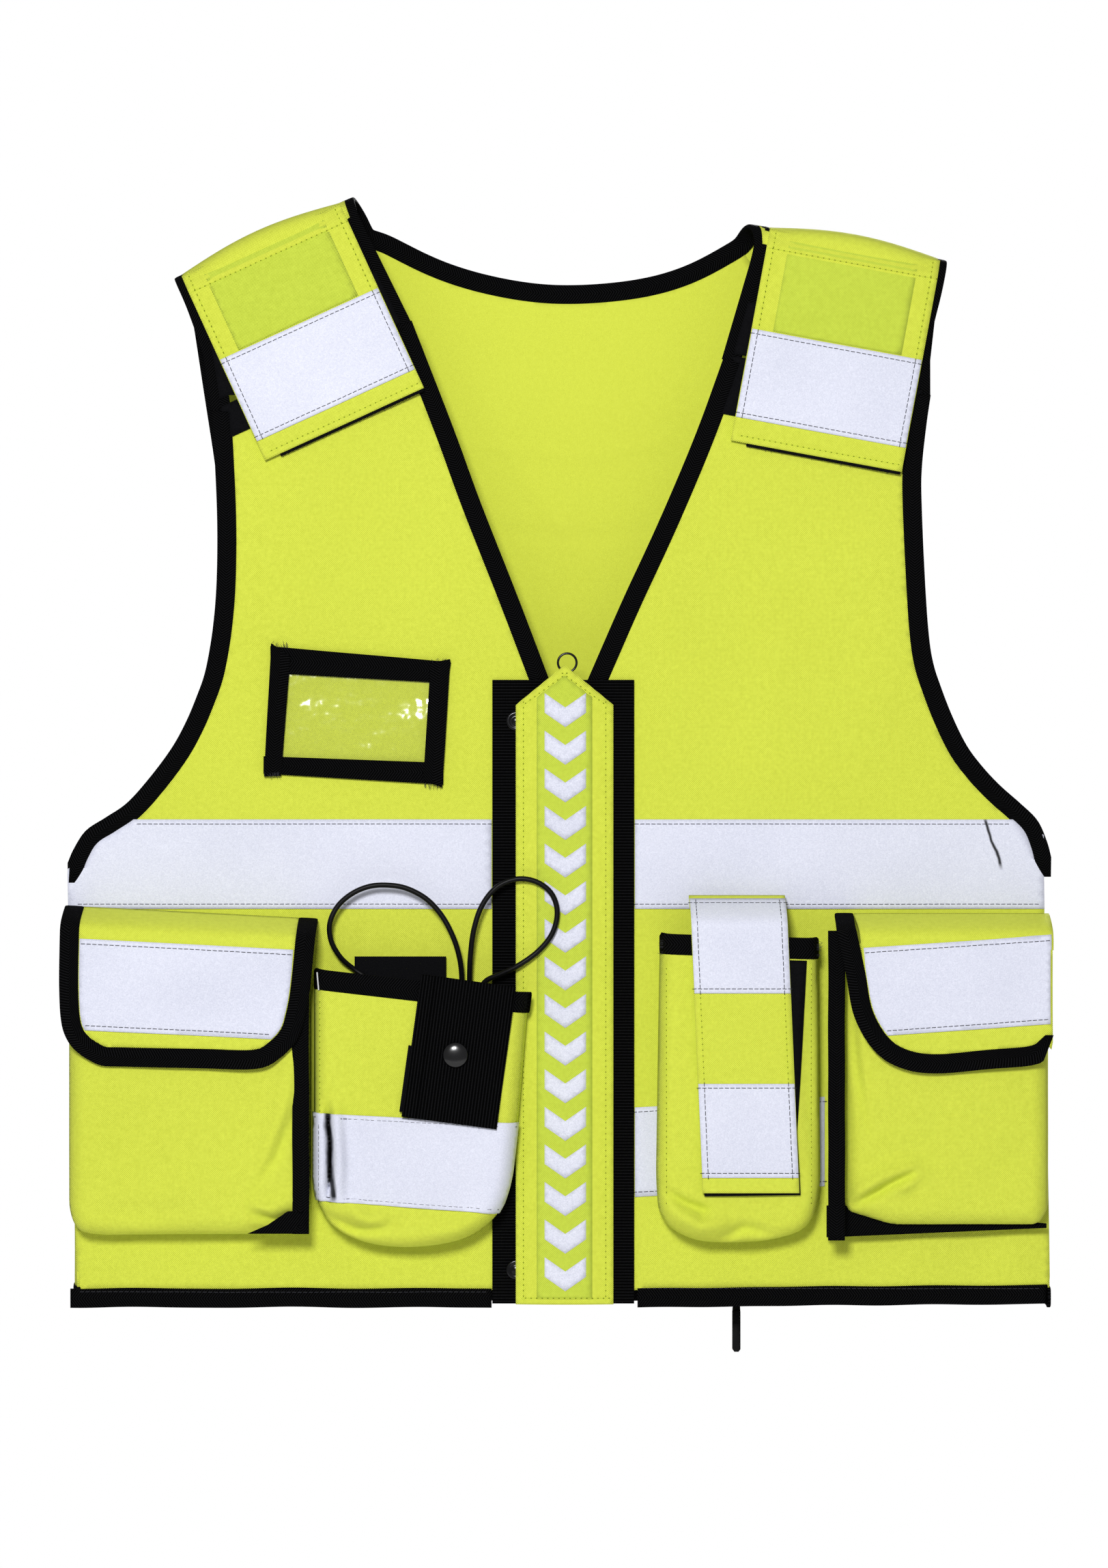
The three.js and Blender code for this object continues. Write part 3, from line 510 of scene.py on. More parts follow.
def to_line(a, s, line):
    """How far points lie from a line of two or more points, and how far along it they are."""
    best = np.full(np.shape(a), 9.0)
    share = np.zeros(np.shape(a))
    total, gone = length_of(line), 0.0
    for p, q in zip(line, line[1:]):
        d = q - p
        long = math.hypot(*d)
        t = np.clip(((a - p[0]) * d[0] + (s - p[1]) * d[1]) / (long * long), 0, 1)
        far = np.hypot(a - p[0] - t * d[0], s - p[1] - t * d[1])
        near = far < best
        best = np.where(near, far, best)
        share = np.where(near, (gone + t * long) / total, share)
        gone += long
    return best, share


def crease(a, s, line, height, width):
    """A fold along a line: its height above the cloth, dying out at both ends."""
    far, share = to_line(a, s, np.array(line) * mm)
    return height * np.exp(-((far / width) ** 2)) * np.sin(math.pi * np.clip(share, 0.02, 0.98)) ** 0.6


# %% Filling an outline with an even mesh
def inside(points, outline):
    x, y = points[:, 0], points[:, 1]
    odd = np.zeros(len(points), bool)
    for p, q in zip(outline, np.roll(outline, -1, 0)):
        if p[1] != q[1]:
            crosses = (p[1] > y) != (q[1] > y)
            odd ^= crosses & (x < (q[0] - p[0]) * (y - p[1]) / (q[1] - p[1]) + p[0])
    return odd


def filled(outline, step):
    """The points and triangles that fill an outline, and its edge as point numbers in order."""
    low, high = outline.min(0), outline.max(0)
    rows = np.arange(low[1] + step / 2, high[1], step * 0.87)
    grid = [
        np.stack([np.arange(low[0] + (i % 2) * step / 2, high[0], step), np.full_like(
            np.arange(low[0] + (i % 2) * step / 2, high[0], step), z)], 1)
        for i, z in enumerate(rows)
    ]
    grid = np.vstack(grid) if grid else np.zeros((0, 2))
    grid = grid[inside(grid, outline)]
    far, _ = to_line(grid[:, 0], grid[:, 1], np.vstack([outline, outline[:1]]))
    points = np.vstack([outline, grid[far > 0.45 * step]])
    count = len(outline)
    edges = [(i, (i + 1) % count) for i in range(count)]
    verts, _, faces, *_ = geometry.delaunay_2d_cdt([Vector(p) for p in points], edges, [], 1, 1e-9)
    verts = np.array([tuple(v) for v in verts])
    faces = np.array(faces)
    sides = {}
    for face in faces:
        for p, q in zip(face, np.roll(face, -1)):
            sides[(int(p), int(q))] = True
    after = {p: q for p, q in sides if (q, p) not in sides}
    here = start = min(after)
    rim = []
    while True:
        rim.append(here)
        here = after[here]
        if here == start or len(rim) > len(after):
            break
    return verts, faces, np.array(rim)


# %% Making a mesh with a UV map in metres
made_pieces = []


def mesh_piece(name, points, faces, uv, material, smooth=True):
    """A piece from points and faces. uv holds one pair for each point, or for each corner."""
    mesh = bpy.data.meshes.new(name)
    mesh.from_pydata([tuple(p) for p in points], [], [tuple(int(i) for i in f) for f in faces])
    layer = mesh.uv_layers.new(name="cloth")
    corner = np.zeros(len(mesh.loops), int)
    mesh.loops.foreach_get("vertex_index", corner)
    uv = np.asarray(uv, np.float32)
    layer.data.foreach_set("uv", (uv[corner] if len(uv) == len(points) else uv).ravel())
    mesh.materials.append(material)
    mesh.polygons.foreach_set("use_smooth", [smooth] * len(mesh.polygons))
    mesh.update()
    piece = bpy.data.objects.new(name, mesh)
    scene.collection.objects.link(piece)
    made_pieces.append(piece)
    return piece


def face_out(piece):
    """Turns a closed piece the right way out."""
    bm = bmesh.new()
    bm.from_mesh(piece.data)
    if bm.calc_volume(signed=True) < 0:
        bmesh.ops.reverse_faces(bm, faces=bm.faces)
        bm.to_mesh(piece.data)
    bm.free()
    return piece


cuts = {}  # the flat outline of each sheet, in metres


def cloth(name, outline, surface, low, high, material, step=4 * mm, way=1):
    """A sheet with a thickness: from height low to height high over a surface."""
    cuts[name] = outline
    points, faces, rim = filled(outline, step)
    count = len(points)
    top = lifted(surface, points[:, 0], points[:, 1], high, way)
    under = lifted(surface, points[:, 0], points[:, 1], low, way)
    wall = [(p, q, q + count, p + count) for p, q in zip(np.roll(rim, -1), rim)]
    every = [*faces, *(faces[:, ::-1] + count), *wall]
    return face_out(mesh_piece(name, np.vstack([top, under]), every, np.vstack([points, points]), material))


def ring_section(count=14, square=5.0):
    """A closed rounded rectangle between -1 and 1 in both directions."""
    turn = 2 * math.pi * (np.arange(count) + 0.5) / count
    both = np.stack([np.cos(turn), np.sin(turn)], 1)
    return np.sign(both) * np.abs(both) ** (2 / square)


def tube(name, rings, along, across, material):
    """A closed piece through rings of points, one ring after another."""
    count, around = rings.shape[:2]
    faces = []
    for i in range(count - 1):
        for j in range(around):
            k = (j + 1) % around
            faces.append((i * around + j, i * around + k, (i + 1) * around + k, (i + 1) * around + j))
    faces.append(tuple(range(around))[::-1])
    faces.append(tuple(range((count - 1) * around, count * around)))
    uv = np.stack([np.repeat(along, around), np.tile(across, count)], 1)
    return face_out(mesh_piece(name, rings.reshape(-1, 3), faces, uv, material))


def band(name, left, right, surface, low, high, material, way=1, square=5.0, around=14):
    """A strip of webbing or tape between two rails of a pattern, laid on a surface."""
    shape = ring_section(around, square)
    middle, half = (left + right) / 2, (left - right) / 2
    flat = middle[:, None, :] + half[:, None, :] * shape[None, :, :1]
    height = (low + high) / 2 + (high - low) / 2 * shape[:, 1]
    rings = lifted(surface, flat[..., 0], flat[..., 1], height[None, :], way)
    step = np.linalg.norm(np.diff(middle, axis=0), axis=1)
    along = np.concatenate([[0], np.cumsum(step)])
    wide = float(np.linalg.norm(half, axis=1).mean())
    return tube(name, rings, along, shape[:, 0] * wide, material)


print("helpers for outlines, sheets and bands are ready")

# %% [markdown]
# ## The folds of each panel
# Woven polyester hangs almost flat. It is held at the zip and at the shoulders, and it
# buckles a little where a pocket pulls on it. Each panel's surface adds such slight folds to
# the plane that the frame gives it.

# %% Surfaces of the fronts and the back
front_low, front_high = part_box("front_panel_left")
back_low, back_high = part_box("back_panel")
front_middle = (front_low.y + front_high.y) / 2
back_middle = (back_low.y + back_high.y) / 2
half_cloth = (front_high.y - front_low.y) / 2
hem_z = front_low.z


def front_folds(a, s):
    """How far the fronts stand out of their plane."""
    folds = 1.2 * mm * ripple(a, s, 130 * mm, 5, 1.8)
    folds += 0.45 * mm * ripple(a, s, 45 * mm, 8, 1.5)
    near_hem = ease(-s, 560 * mm, 590 * mm)
    folds += near_hem * 1.3 * mm * ripple(a, s * 0.35, 34 * mm, 11)
    for line, height, width in (
        ([(110, -180), (118, -250), (112, -335)], 0.9, 12),
        ([(185, -170), (176, -260), (160, -338)], 0.7, 14),
        ([(-92, -150), (-110, -210), (-132, -242)], 0.6, 13),
        ([(-120, -335), (-135, -395), (-140, -405)], 0.7, 9)):
        folds += crease(a, s, line, height * mm, width * mm)
    held = ease(-s, 120 * mm, 190 * mm) * ease(np.abs(a), 42 * mm, 80 * mm)
    return folds * held


def front(a, s):
    return np.stack(np.broadcast_arrays(a, front_middle - front_folds(a, s), s), -1)


def back_folds(a, s):
    folds = 1.9 * mm * ripple(a, s, 170 * mm, 21, 1.6) + 0.6 * mm * ripple(a, s, 60 * mm, 22, 1.3)
    for line, height, width in (
        ([(-60, -75), (-20, -150), (30, -215)], -1.2, 9), ([(55, -262), (0, -285), (-42, -268)], 1.0, 6),
        ([(-38, -258), (10, -290), (48, -280)], -0.9, 6), ([(-70, -130), (10, -138), (70, -128)], -0.7, 3),
        ([(-60, -178), (0, -184), (62, -180)], 0.6, 4)):
        folds += crease(a, s, line, height * mm, width * mm)
    return folds * ease(-s, 50 * mm, 110 * mm)


def back(a, s):
    return np.stack(np.broadcast_arrays(a, back_middle + back_folds(a, s), s), -1)


# %% Cloth of the fronts and the back
tuck = 1.5 * mm  # how far cloth runs into the binding on its edge


def panel(node, surface, low, high, material, look=-1.0, way=1, tucked=tuck, step=4 * mm):
    """The sheet that stands for a flat node."""
    outline = smooth_outline(flat_outlines(node, look)[0], step)
    return cloth(node + "_cloth", grown(outline, tucked), surface, low, high, material, step, way)


front_panels = {
    side: panel("front_panel_" + side, front, -half_cloth, half_cloth, yellow_cloth)
    for side in ("right", "left")}
back_panel = panel("back_panel", back, -half_cloth, half_cloth, yellow_lining, 1.0, -1)
print("the fronts and the back are cut")

# %% [markdown]
# ## Bindings along the edges
# A binding is a woven strip folded over a raw edge, so it stands a little proud on both
# faces. It is swept along the two sides of its strip in the frame, with a rounded section.

# %% Bindings of the fronts and the hem
binding_half = (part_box("hem_binding_right")[1].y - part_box("hem_binding_right")[0].y) / 2


def edge_binding(node, surface, look=-1.0, way=1):
    left, right = rails(flat_outlines(node, look)[0], 3 * mm)
    if "armhole" in node:
        if left[0, 1] < left[-1, 1]:
            left, right = left[::-1], right[::-1]
        outer = max((left[-1], right[-1]), key=lambda p: abs(p[0]))
        side = math.copysign(1, outer[0])
        left, right = (
            np.vstack([r, [[outer[0] - side * narrow, outer[1] - 11 * mm]]]) for r,
            narrow in ((r, 0.2 * mm if abs(r[-1, 0]) == abs(outer[0]) else 4.5 * mm) for r in (left, right)))
    if "v_binding" in node:
        if left[0, 1] < left[-1, 1]:
            left, right = left[::-1], right[::-1]
        run = (left[-1] + right[-1] - left[-4] - right[-4]) / 2
        left, right = (np.vstack([r, r[-1] + run / np.linalg.norm(run) * 12 * mm]) for r in (left, right))
    if "hem_binding_" in node:
        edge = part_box(node.replace("hem_binding", "front_panel"))
        edge_x = edge[0].x if "right" in node else edge[1].x
        at = int(np.argmin(np.abs(left[[0, -1], 0] - edge_x)))
        left, right = (
            np.vstack([[[edge_x, r[0, 1]]], r]) if at == 0 else np.vstack([r, [[edge_x, r[-1, 1]]]])
            for r in (left, right))
    if "hem" in node:
        for side in (left, right):
            side[:, 1] += 0.5 * mm * ripple(side[:, 0], side[:, 0] * 0, 60 * mm, 17)
    return band(node + "_web", left, right, surface, -binding_half, binding_half, black_binding, way)


bindings = {
    node: edge_binding(node, front) for side in ("right", "left")
    for node in ("v_binding_" + side, "armhole_binding_" + side, "hem_binding_" + side)}
bindings["back_hem_binding"] = edge_binding("back_hem_binding", back, 1.0, -1)
print(len(bindings), "straight bindings")

# %% [markdown]
# ## Over the shoulders
# The neck binding and the armhole bindings run up the front, over the shoulder and down the
# back. Such a path leaves the plane, so each point keeps its own outward direction: away from
# the wearer in front, up on top of the shoulder and backwards behind it.

# %% The frame of each shoulder fold, and the arch over it
arch_high = 9 * mm


class Fold:
    """A line that cloth folds over: u runs along it and v down from it."""

    def __init__(self, joint):
        place, axis = joints[joint]["pos_m"], joints[joint]["axis"]
        self.start = np.array([place[0], place[2]])
        self.along = -np.array([axis[0], axis[2]]) / math.hypot(axis[0], axis[2])
        self.down = np.array([self.along[1], -self.along[0]])
        self.y = place[1]

    def inward(self, points):
        """x and z to u and v."""
        away = np.asarray(points) - self.start
        return np.stack([away @ self.along, away @ self.down], 1)

    def place(self, u, v, y):
        u, v, y = np.broadcast_arrays(u, v, y)
        x = self.start[0] + u * self.along[0] + v * self.down[0]
        z = self.start[1] + u * self.along[1] + v * self.down[1]
        return np.stack([x, y, z], -1)


folds = {side: Fold("tab_" + side + "_lift") for side in ("right", "left")}
half_turn = np.linspace(0, math.pi, 25)
middle_y, reach = (front_middle + back_middle) / 2, (back_middle - front_middle) / 2
arch_y = middle_y - reach * np.cos(half_turn)
arch_v = arch_high * (1 - np.sin(half_turn) ** 0.85)


def midline(outline, corner):
    """The middle of a strip, from its two long sides."""
    first, second = sorted(chains(outline, corner), key=lambda c: -length_of(c))[:2]
    count = round(length_of(first) / (3 * mm))
    return (evenly(first, count) + evenly(second[::-1], count)) / 2


def level_with(fold, line, v):
    """The part of a line, given from its far end up to the fold, that lies below v."""
    return line[fold.inward(line)[:, 1] > v]


def shoulder_path(side, node):
    """The front leg of a binding, from its foot up to where the arch over the shoulder begins."""
    fold = folds[side]
    legs = [midline(o, 60) for o in flat_outlines(node)]
    leg = min(legs, key=lambda m: np.linalg.norm(m.mean(0) - fold.place(50 * mm, 40 * mm, 0)[[0, 2]]))
    if fold.inward(leg[:1])[0, 1] < fold.inward(leg[-1:])[0, 1]:
        leg = leg[::-1]
    overlap = (leg[0] - leg[1]) / np.linalg.norm(leg[0] - leg[1]) * 4 * mm
    return level_with(fold, np.vstack([leg[0] + overlap, leg]), arch_high)


def swept_binding(name, stretches):
    """A binding through stretches of (places, outward directions)."""
    points = np.vstack([p for p, _ in stretches])
    out = np.vstack([n for _, n in stretches])
    both = evenly(np.hstack([points, out * mm]), round(length_of(points) / (2.5 * mm)))
    for _ in range(3):
        both[1:-1] = (both[:-2] + 2 * both[1:-1] + both[2:]) / 4
    points, out = both[:, :3], both[:, 3:]
    ahead = np.gradient(points, axis=0)
    across = np.cross(ahead, out)
    across /= np.linalg.norm(across, axis=1)[:, None]
    normal = np.cross(across, ahead)
    normal /= np.linalg.norm(normal, axis=1)[:, None]
    shape = ring_section()
    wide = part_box("hem_binding_right")[1].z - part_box("hem_binding_right")[0].z
    rings = points[:, None] + across[:, None] * shape[None, :, :1] * wide / 2
    rings = rings + normal[:, None] * shape[None, :, 1:] * binding_half
    far = np.concatenate([[0], np.cumsum(np.linalg.norm(np.diff(points, axis=0), axis=1))])
    return tube(name, rings, far, shape[:, 0] * wide / 2, black_binding)


def in_front(line):
    flat = front(line[:, 0], line[:, 1])
    return flat, np.tile([0.0, -1.0, 0.0], (len(line), 1))


def behind(line):
    flat = back(line[:, 0], line[:, 1])
    return flat, np.tile([0.0, 1.0, 0.0], (len(line), 1))


def arch_over(fold, u_front, u_back):
    u = np.linspace(u_front, u_back, len(half_turn))
    out = np.stack([-np.cos(half_turn), np.sin(half_turn)], 1)
    up = -fold.down
    return fold.place(u, arch_v, arch_y), np.stack([out[:, 1] * up[0], out[:, 0], out[:, 1] * up[1]], 1)


def crossing(fold, line):
    return float(fold.inward(line[-1:])[0, 0])


neck_legs = {side: shoulder_path(side, "neck_binding") for side in folds}
neck_back = midline(flat_outlines("neck_binding", 1.0)[0], 60)
if neck_back[0, 0] > neck_back[-1, 0]:
    neck_back = neck_back[::-1]
neck_back = level_with(folds["right"], neck_back, arch_high)
neck_back = level_with(folds["left"], neck_back, arch_high)
neck_stretches = [
    in_front(neck_legs["right"]),
    arch_over(folds["right"], crossing(folds["right"], neck_legs["right"]),
              float(folds["right"].inward(neck_back[:1])[0, 0])),
    behind(neck_back),
]
over = arch_over(
    folds["left"], crossing(folds["left"], neck_legs["left"]),
    float(folds["left"].inward(neck_back[-1:])[0, 0]))
forward = in_front(neck_legs["left"])
neck_stretches += [(over[0][::-1], over[1][::-1]), (forward[0][::-1], forward[1][::-1])]
bindings["neck_binding"] = swept_binding("neck_binding_web", neck_stretches)

arm_legs, arm_backs = {}, {}
for side in folds:
    node = "arm_binding_back_" + side
    arm_legs[side] = shoulder_path(side, node)
    arm_back = midline(flat_outlines(node, 1.0)[0], 60)
    if arm_back[0, 1] < arm_back[-1, 1]:
        arm_back = arm_back[::-1]
    arm_back = level_with(folds[side], arm_back, arch_high)
    arm_backs[side] = arm_back
    bindings[node] = swept_binding(node + "_web", [
        in_front(arm_legs[side]),
        arch_over(folds[side], crossing(folds[side], arm_legs[side]),
                  float(folds[side].inward(arm_back[:1])[0, 0])),
        behind(arm_back),
    ])
print("bindings run over both shoulders")

# %% Yokes: the cloth between the neck binding and the armhole binding
arch_step = np.linalg.norm(np.diff(np.stack([arch_y, arch_v], 1), axis=0), axis=1)
arch_far = np.concatenate([[0], np.cumsum(arch_step)]) - arch_step.sum() / 2
leg_long = 120 * mm
table_s = np.concatenate([[arch_far[0] - leg_long], arch_far, [arch_far[-1] + leg_long]])
table_v = np.concatenate([[arch_high + leg_long], arch_v, [arch_high + leg_long]])
table_y = np.concatenate([[front_middle], arch_y, [back_middle]])


def over_shoulder(fold):
    """A surface whose s runs up the front, over the fold and down the back, fuller in its middle."""
    def surface(u, s):
        full = np.sin(math.pi * np.clip(u / (97 * mm), 0, 1)) * (1 - ease(np.abs(s), 12 * mm, 45 * mm))
        return fold.place(u, np.interp(s, table_s, table_v) - 5 * mm * full, np.interp(s, table_s, table_y))

    return surface


yokes = {}
yoke_back, yoke_front = 26 * mm, 74 * mm
for side, fold in folds.items():
    rims = []
    for leg, rear in ((neck_legs[side], neck_back), (arm_legs[side], arm_backs[side])):
        down_back = fold.inward(rear)
        down_back = down_back[(down_back[:, 1] < 2 * yoke_back) & (np.abs(down_back[:, 0]) < 150 * mm)]
        down_back = down_back[np.argsort(down_back[:, 1])]
        flat = fold.inward(leg)
        flat = flat[flat[:, 1] < yoke_front]
        rims.append(np.vstack([
            np.stack([flat[:, 0], arch_far[0] - (flat[:, 1] - arch_high)], 1),
            [[np.interp(v, *down_back.T[::-1]), arch_far[-1] + v - arch_high]
             for v in np.linspace(arch_high + 1 * mm, yoke_back, 5)],
        ]))
    outline = evenly(rims[0], 60)
    other = evenly(rims[1], 60)[::-1]
    outline = np.vstack([outline, evenly(np.vstack([outline[-1], other[0]]), 20)[1:-1], other,
                         evenly(np.vstack([other[-1], outline[0]]), 20)[1:-1]])
    yokes[side] = cloth(
        "shoulder_yoke_" + side + "_cloth", outline, over_shoulder(fold), 0.25 * mm, 1.25 * mm, yellow_cloth,
        4 * mm)
    loops_from = arch_far[0] - (44 * mm - arch_high)
    outline = clipped(outline, (0, loops_from), (0, -1))
    lowest = outline[:, 1].min()
    outline[outline[:, 1] < lowest + 0.5 * mm, 1] -= 2.4 * mm
    yokes[side + "_loops"] = cloth(
        "shoulder_yoke_loops_" + side, outline, over_shoulder(fold), 1.27 * mm, 1.9 * mm, hook_and_loop,
        4 * mm)
print("two yokes")

# %% [markdown]
# ## Side gussets
# A narrow strip of cloth joins each front to the back at the side. It bows outwards a little,
# and its front edge meets the line about which that front swings.

# %% Gussets
def side_edge(node, way, look=-1.0):
    """The x of a panel's side edge at any height, held level below its lower corner."""
    outline = flat_outlines(node, look)[0]
    # The hem slopes, so a cut below this corner would meet the hem far inside the side edge.
    beside = outline[:, 0] * way > (outline[:, 0] * way).max() - 15 * mm
    corner_z = outline[beside, 1].min()
    heights = np.linspace(corner_z + 2 * mm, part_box(node)[1].z - 1 * mm, 240)
    edges = []
    for z in heights:
        here, there = outline, np.roll(outline, -1, 0)
        cut = (here[:, 1] - z) * (there[:, 1] - z) < 0
        share = (z - here[cut, 1]) / (there[cut, 1] - here[cut, 1])
        x = here[cut, 0] + share * (there[cut, 0] - here[cut, 0])
        edges.append(max(x * way) * way if len(x) else edges[-1])
    return lambda s: np.interp(s, heights, edges)


gussets = {}
for side, way in (("right", -1), ("left", 1)):
    low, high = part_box("side_gusset_" + side)
    front_edge = side_edge("front_panel_" + side, way)
    back_edge = side_edge("back_panel", way, 1.0)

    def side_wall(a, s, way=way, front_edge=front_edge, back_edge=back_edge):
        share = np.clip((a - front_middle) / (back_middle - front_middle), 0, 1)
        bow = 0.8 * mm + 1.4 * mm * np.sin(math.pi * share) * (
            1 + 0.5 * ripple(a * 0 + s, s * 0, 90 * mm, 31))
        x = front_edge(s) + (back_edge(s) - front_edge(s)) * share + way * bow
        return np.stack(np.broadcast_arrays(x, a, s), -1)

    outline = np.array([
        [front_middle, hem_z], [back_middle, hem_z], [back_middle, high.z + 1 * mm],
        [front_middle, high.z + 5 * mm],
    ])
    outline = np.vstack(
        [evenly(np.vstack([p, q]), 40)[:-1] for p, q in zip(outline, np.roll(outline, -1, 0))])
    gussets[side] = cloth(
        "side_gusset_" + side + "_cloth", outline, side_wall, -half_cloth, half_cloth, yellow_cloth, 4 * mm)
    depth = np.linspace(front_middle, back_middle, 24)
    hem_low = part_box("hem_binding_" + side)[0].z
    gussets[side + "_hem"] = band(
        "side_hem_" + side + "_web", np.stack([depth, 0 * depth + hem_z + 0.5 * mm], 1),
        np.stack([depth, 0 * depth + hem_low], 1), side_wall, -binding_half, binding_half, black_binding)
print("two gussets")

# %% [markdown]
# ## The zip
# Each half of the zip is a tape with teeth on its edge, under a facing of wide webbing. The
# teeth repeat at an even pitch, so a small tree of geometry nodes sets them along a line.


# %% A tree of nodes that sets small pieces along lines
def row_tree(name, shape_nodes):
    """Points along each line at a pitch, and on each the shape that shape_nodes returns."""
    tree = bpy.data.node_groups.new(name, "GeometryNodeTree")
    face = tree.interface
    face.new_socket("Geometry", in_out="OUTPUT", socket_type="NodeSocketGeometry")
    face.new_socket("Geometry", in_out="INPUT", socket_type="NodeSocketGeometry")
    sizes = {}
    for size in ("Pitch", "Length", "Radius", "Width", "Looseness"):
        sizes[size] = face.new_socket(size, in_out="INPUT", socket_type="NodeSocketFloat").identifier
    for whole in ("Seed",):
        sizes[whole] = face.new_socket(whole, in_out="INPUT", socket_type="NodeSocketInt").identifier
    sizes["Finish"] = face.new_socket("Finish", in_out="INPUT", socket_type="NodeSocketMaterial").identifier

    def node(kind, **settings):
        made = tree.nodes.new(kind)
        for key, value in settings.items():
            setattr(made, key, value)
        return made

    def join(source, target):
        tree.links.new(source, target)

    given, result = node("NodeGroupInput"), node("NodeGroupOutput")
    spaced = node("GeometryNodeResampleCurve")
    if hasattr(spaced, "mode"):
        spaced.mode = "LENGTH"
    join(given.outputs["Geometry"], spaced.inputs["Curve"])
    join(given.outputs["Pitch"], spaced.inputs["Length"])
    ahead = node("GeometryNodeInputTangent")
    aim = node("FunctionNodeAlignRotationToVector", axis="Z")
    join(ahead.outputs[0], aim.inputs["Vector"])
    loose = node("FunctionNodeRandomValue", data_type="FLOAT_VECTOR")
    wide = node("ShaderNodeMath", operation="MULTIPLY")
    wide.inputs[1].default_value = -1.0
    join(given.outputs["Looseness"], wide.inputs[0])
    join(wide.outputs[0], loose.inputs["Min"])
    join(given.outputs["Looseness"], loose.inputs["Max"])
    join(given.outputs["Seed"], loose.inputs["Seed"])
    turned = node("FunctionNodeRotateRotation", rotation_space="LOCAL")
    join(aim.outputs[0], turned.inputs["Rotation"])
    join(loose.outputs["Value"], turned.inputs["Rotate By"])
    set_on = node("GeometryNodeInstanceOnPoints")
    join(spaced.outputs[0], set_on.inputs["Points"])
    join(shape_nodes(node, join, given), set_on.inputs["Instance"])
    join(turned.outputs[0], set_on.inputs["Rotation"])
    real = node("GeometryNodeRealizeInstances")
    join(set_on.outputs[0], real.inputs[0])
    coat = node("GeometryNodeSetMaterial")
    join(real.outputs[0], coat.inputs["Geometry"])
    join(given.outputs["Finish"], coat.inputs["Material"])
    join(coat.outputs[0], result.inputs[0])
    return tree, sizes


def rod_shape(node, join, given):
    """A short rod along the line, for a stitch, a needle hole or a loose fibre."""
    rod = node("GeometryNodeMeshCylinder", fill_type="NGON")
    rod.inputs["Vertices"].default_value = 6
    join(given.outputs["Radius"], rod.inputs["Radius"])
    join(given.outputs["Length"], rod.inputs["Depth"])
    return rod.outputs["Mesh"]


def tooth_shape(node, join, given):
    """A rounded block across the line, for a zip tooth."""
    block = node("GeometryNodeMeshCube")
    size = node("ShaderNodeCombineXYZ")
    for socket, given_name in ((0, "Radius"), (1, "Width"), (2, "Length")):
        join(given.outputs[given_name], size.inputs[socket])
    join(size.outputs[0], block.inputs["Size"])
    soft = node("GeometryNodeSubdivisionSurface")
    soft.inputs["Level"].default_value = 1
    join(block.outputs["Mesh"], soft.inputs["Mesh"])
    return soft.outputs["Mesh"]


rods, rod_sockets = row_tree("rods_along_lines", rod_shape)
teeth, tooth_sockets = row_tree("teeth_along_lines", tooth_shape)


def row_of(name, lines, tree, sockets, material, pitch, length, radius, width=0.0, loose=0.0, seed=1):
    """Runs a tree along lines of places and keeps the result as a plain piece."""
    data = bpy.data.curves.new(name + "_line", "CURVE")
    data.dimensions = "3D"
    for line in lines:
        spline = data.splines.new("POLY")
        spline.points.add(len(line) - 1)
        spline.points.foreach_set("co", np.hstack([line, np.ones((len(line), 1))]).ravel())
    guide = bpy.data.objects.new(name + "_line", data)
    scene.collection.objects.link(guide)
    run = guide.modifiers.new("rows", "NODES")
    run.node_group = tree
    for key, value in (
        ("Pitch", pitch), ("Length", length), ("Radius", radius), ("Width", width), ("Looseness", loose),
        ("Seed", seed), ("Finish", material)):
        run[sockets[key]] = value
    done = guide.evaluated_get(bpy.context.evaluated_depsgraph_get())
    mesh = bpy.data.meshes.new_from_object(done)
    mesh.name = name
    if not mesh.materials:
        mesh.materials.append(material)
    bpy.data.objects.remove(guide)
    piece = bpy.data.objects.new(name, mesh)
    scene.collection.objects.link(piece)
    made_pieces.append(piece)
    return piece


# %% Facings, tapes and teeth
facings, zip_tapes, zip_teeth = {}, {}, {}
tooth_pitch = 2.1 * mm
for side, way in (("right", -1), ("left", 1)):
    low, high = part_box("zip_facing_" + side)
    left, right = rails(flat_outlines("zip_facing_" + side)[0], 3 * mm)
    facings[side] = band(
        "zip_facing_" + side + "_web", left, right, front, half_cloth + 0.02 * mm, half_cloth + 1.6 * mm,
        black_webbing, square=9.0)
    low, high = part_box("zip_tape_" + side)
    inner, outer = (high.x, low.x) if way < 0 else (low.x, high.x)
    inner += way * 1.6 * mm
    z = np.linspace(low.z, high.z, 90)
    zip_tapes[side] = band(
        "zip_tape_" + side + "_web", np.stack([z * 0 + inner, z], 1), np.stack([z * 0 + outer, z], 1), front,
        -0.6 * mm, 0.5 * mm, black_webbing)
    line = np.stack([z * 0 + inner - way * 0.1 * mm, z * 0 + front_middle - 0.4 * mm, z], 1)
    line = line[::-1] - np.array([0, 0, (way < 0) * tooth_pitch / 2])
    zip_teeth[side] = row_of(
        "zip_teeth_" + side, [line], teeth, tooth_sockets, black_enamel, tooth_pitch, 1.5 * mm, 4.4 * mm,
        2.6 * mm)
print("the zip has", len(zip_teeth["left"].data.polygons), "faces of teeth on one side")

# %% [markdown]
# ## Reflective tape and patches sewn flat
# The tape lies on the cloth and follows its folds. The patches are the loop side of hook and
# loop tape, which is a soft black pile.

# %% Chest tape, patches and the waist tape
tape_low, tape_high = half_cloth + 0.02 * mm, half_cloth + 0.7 * mm


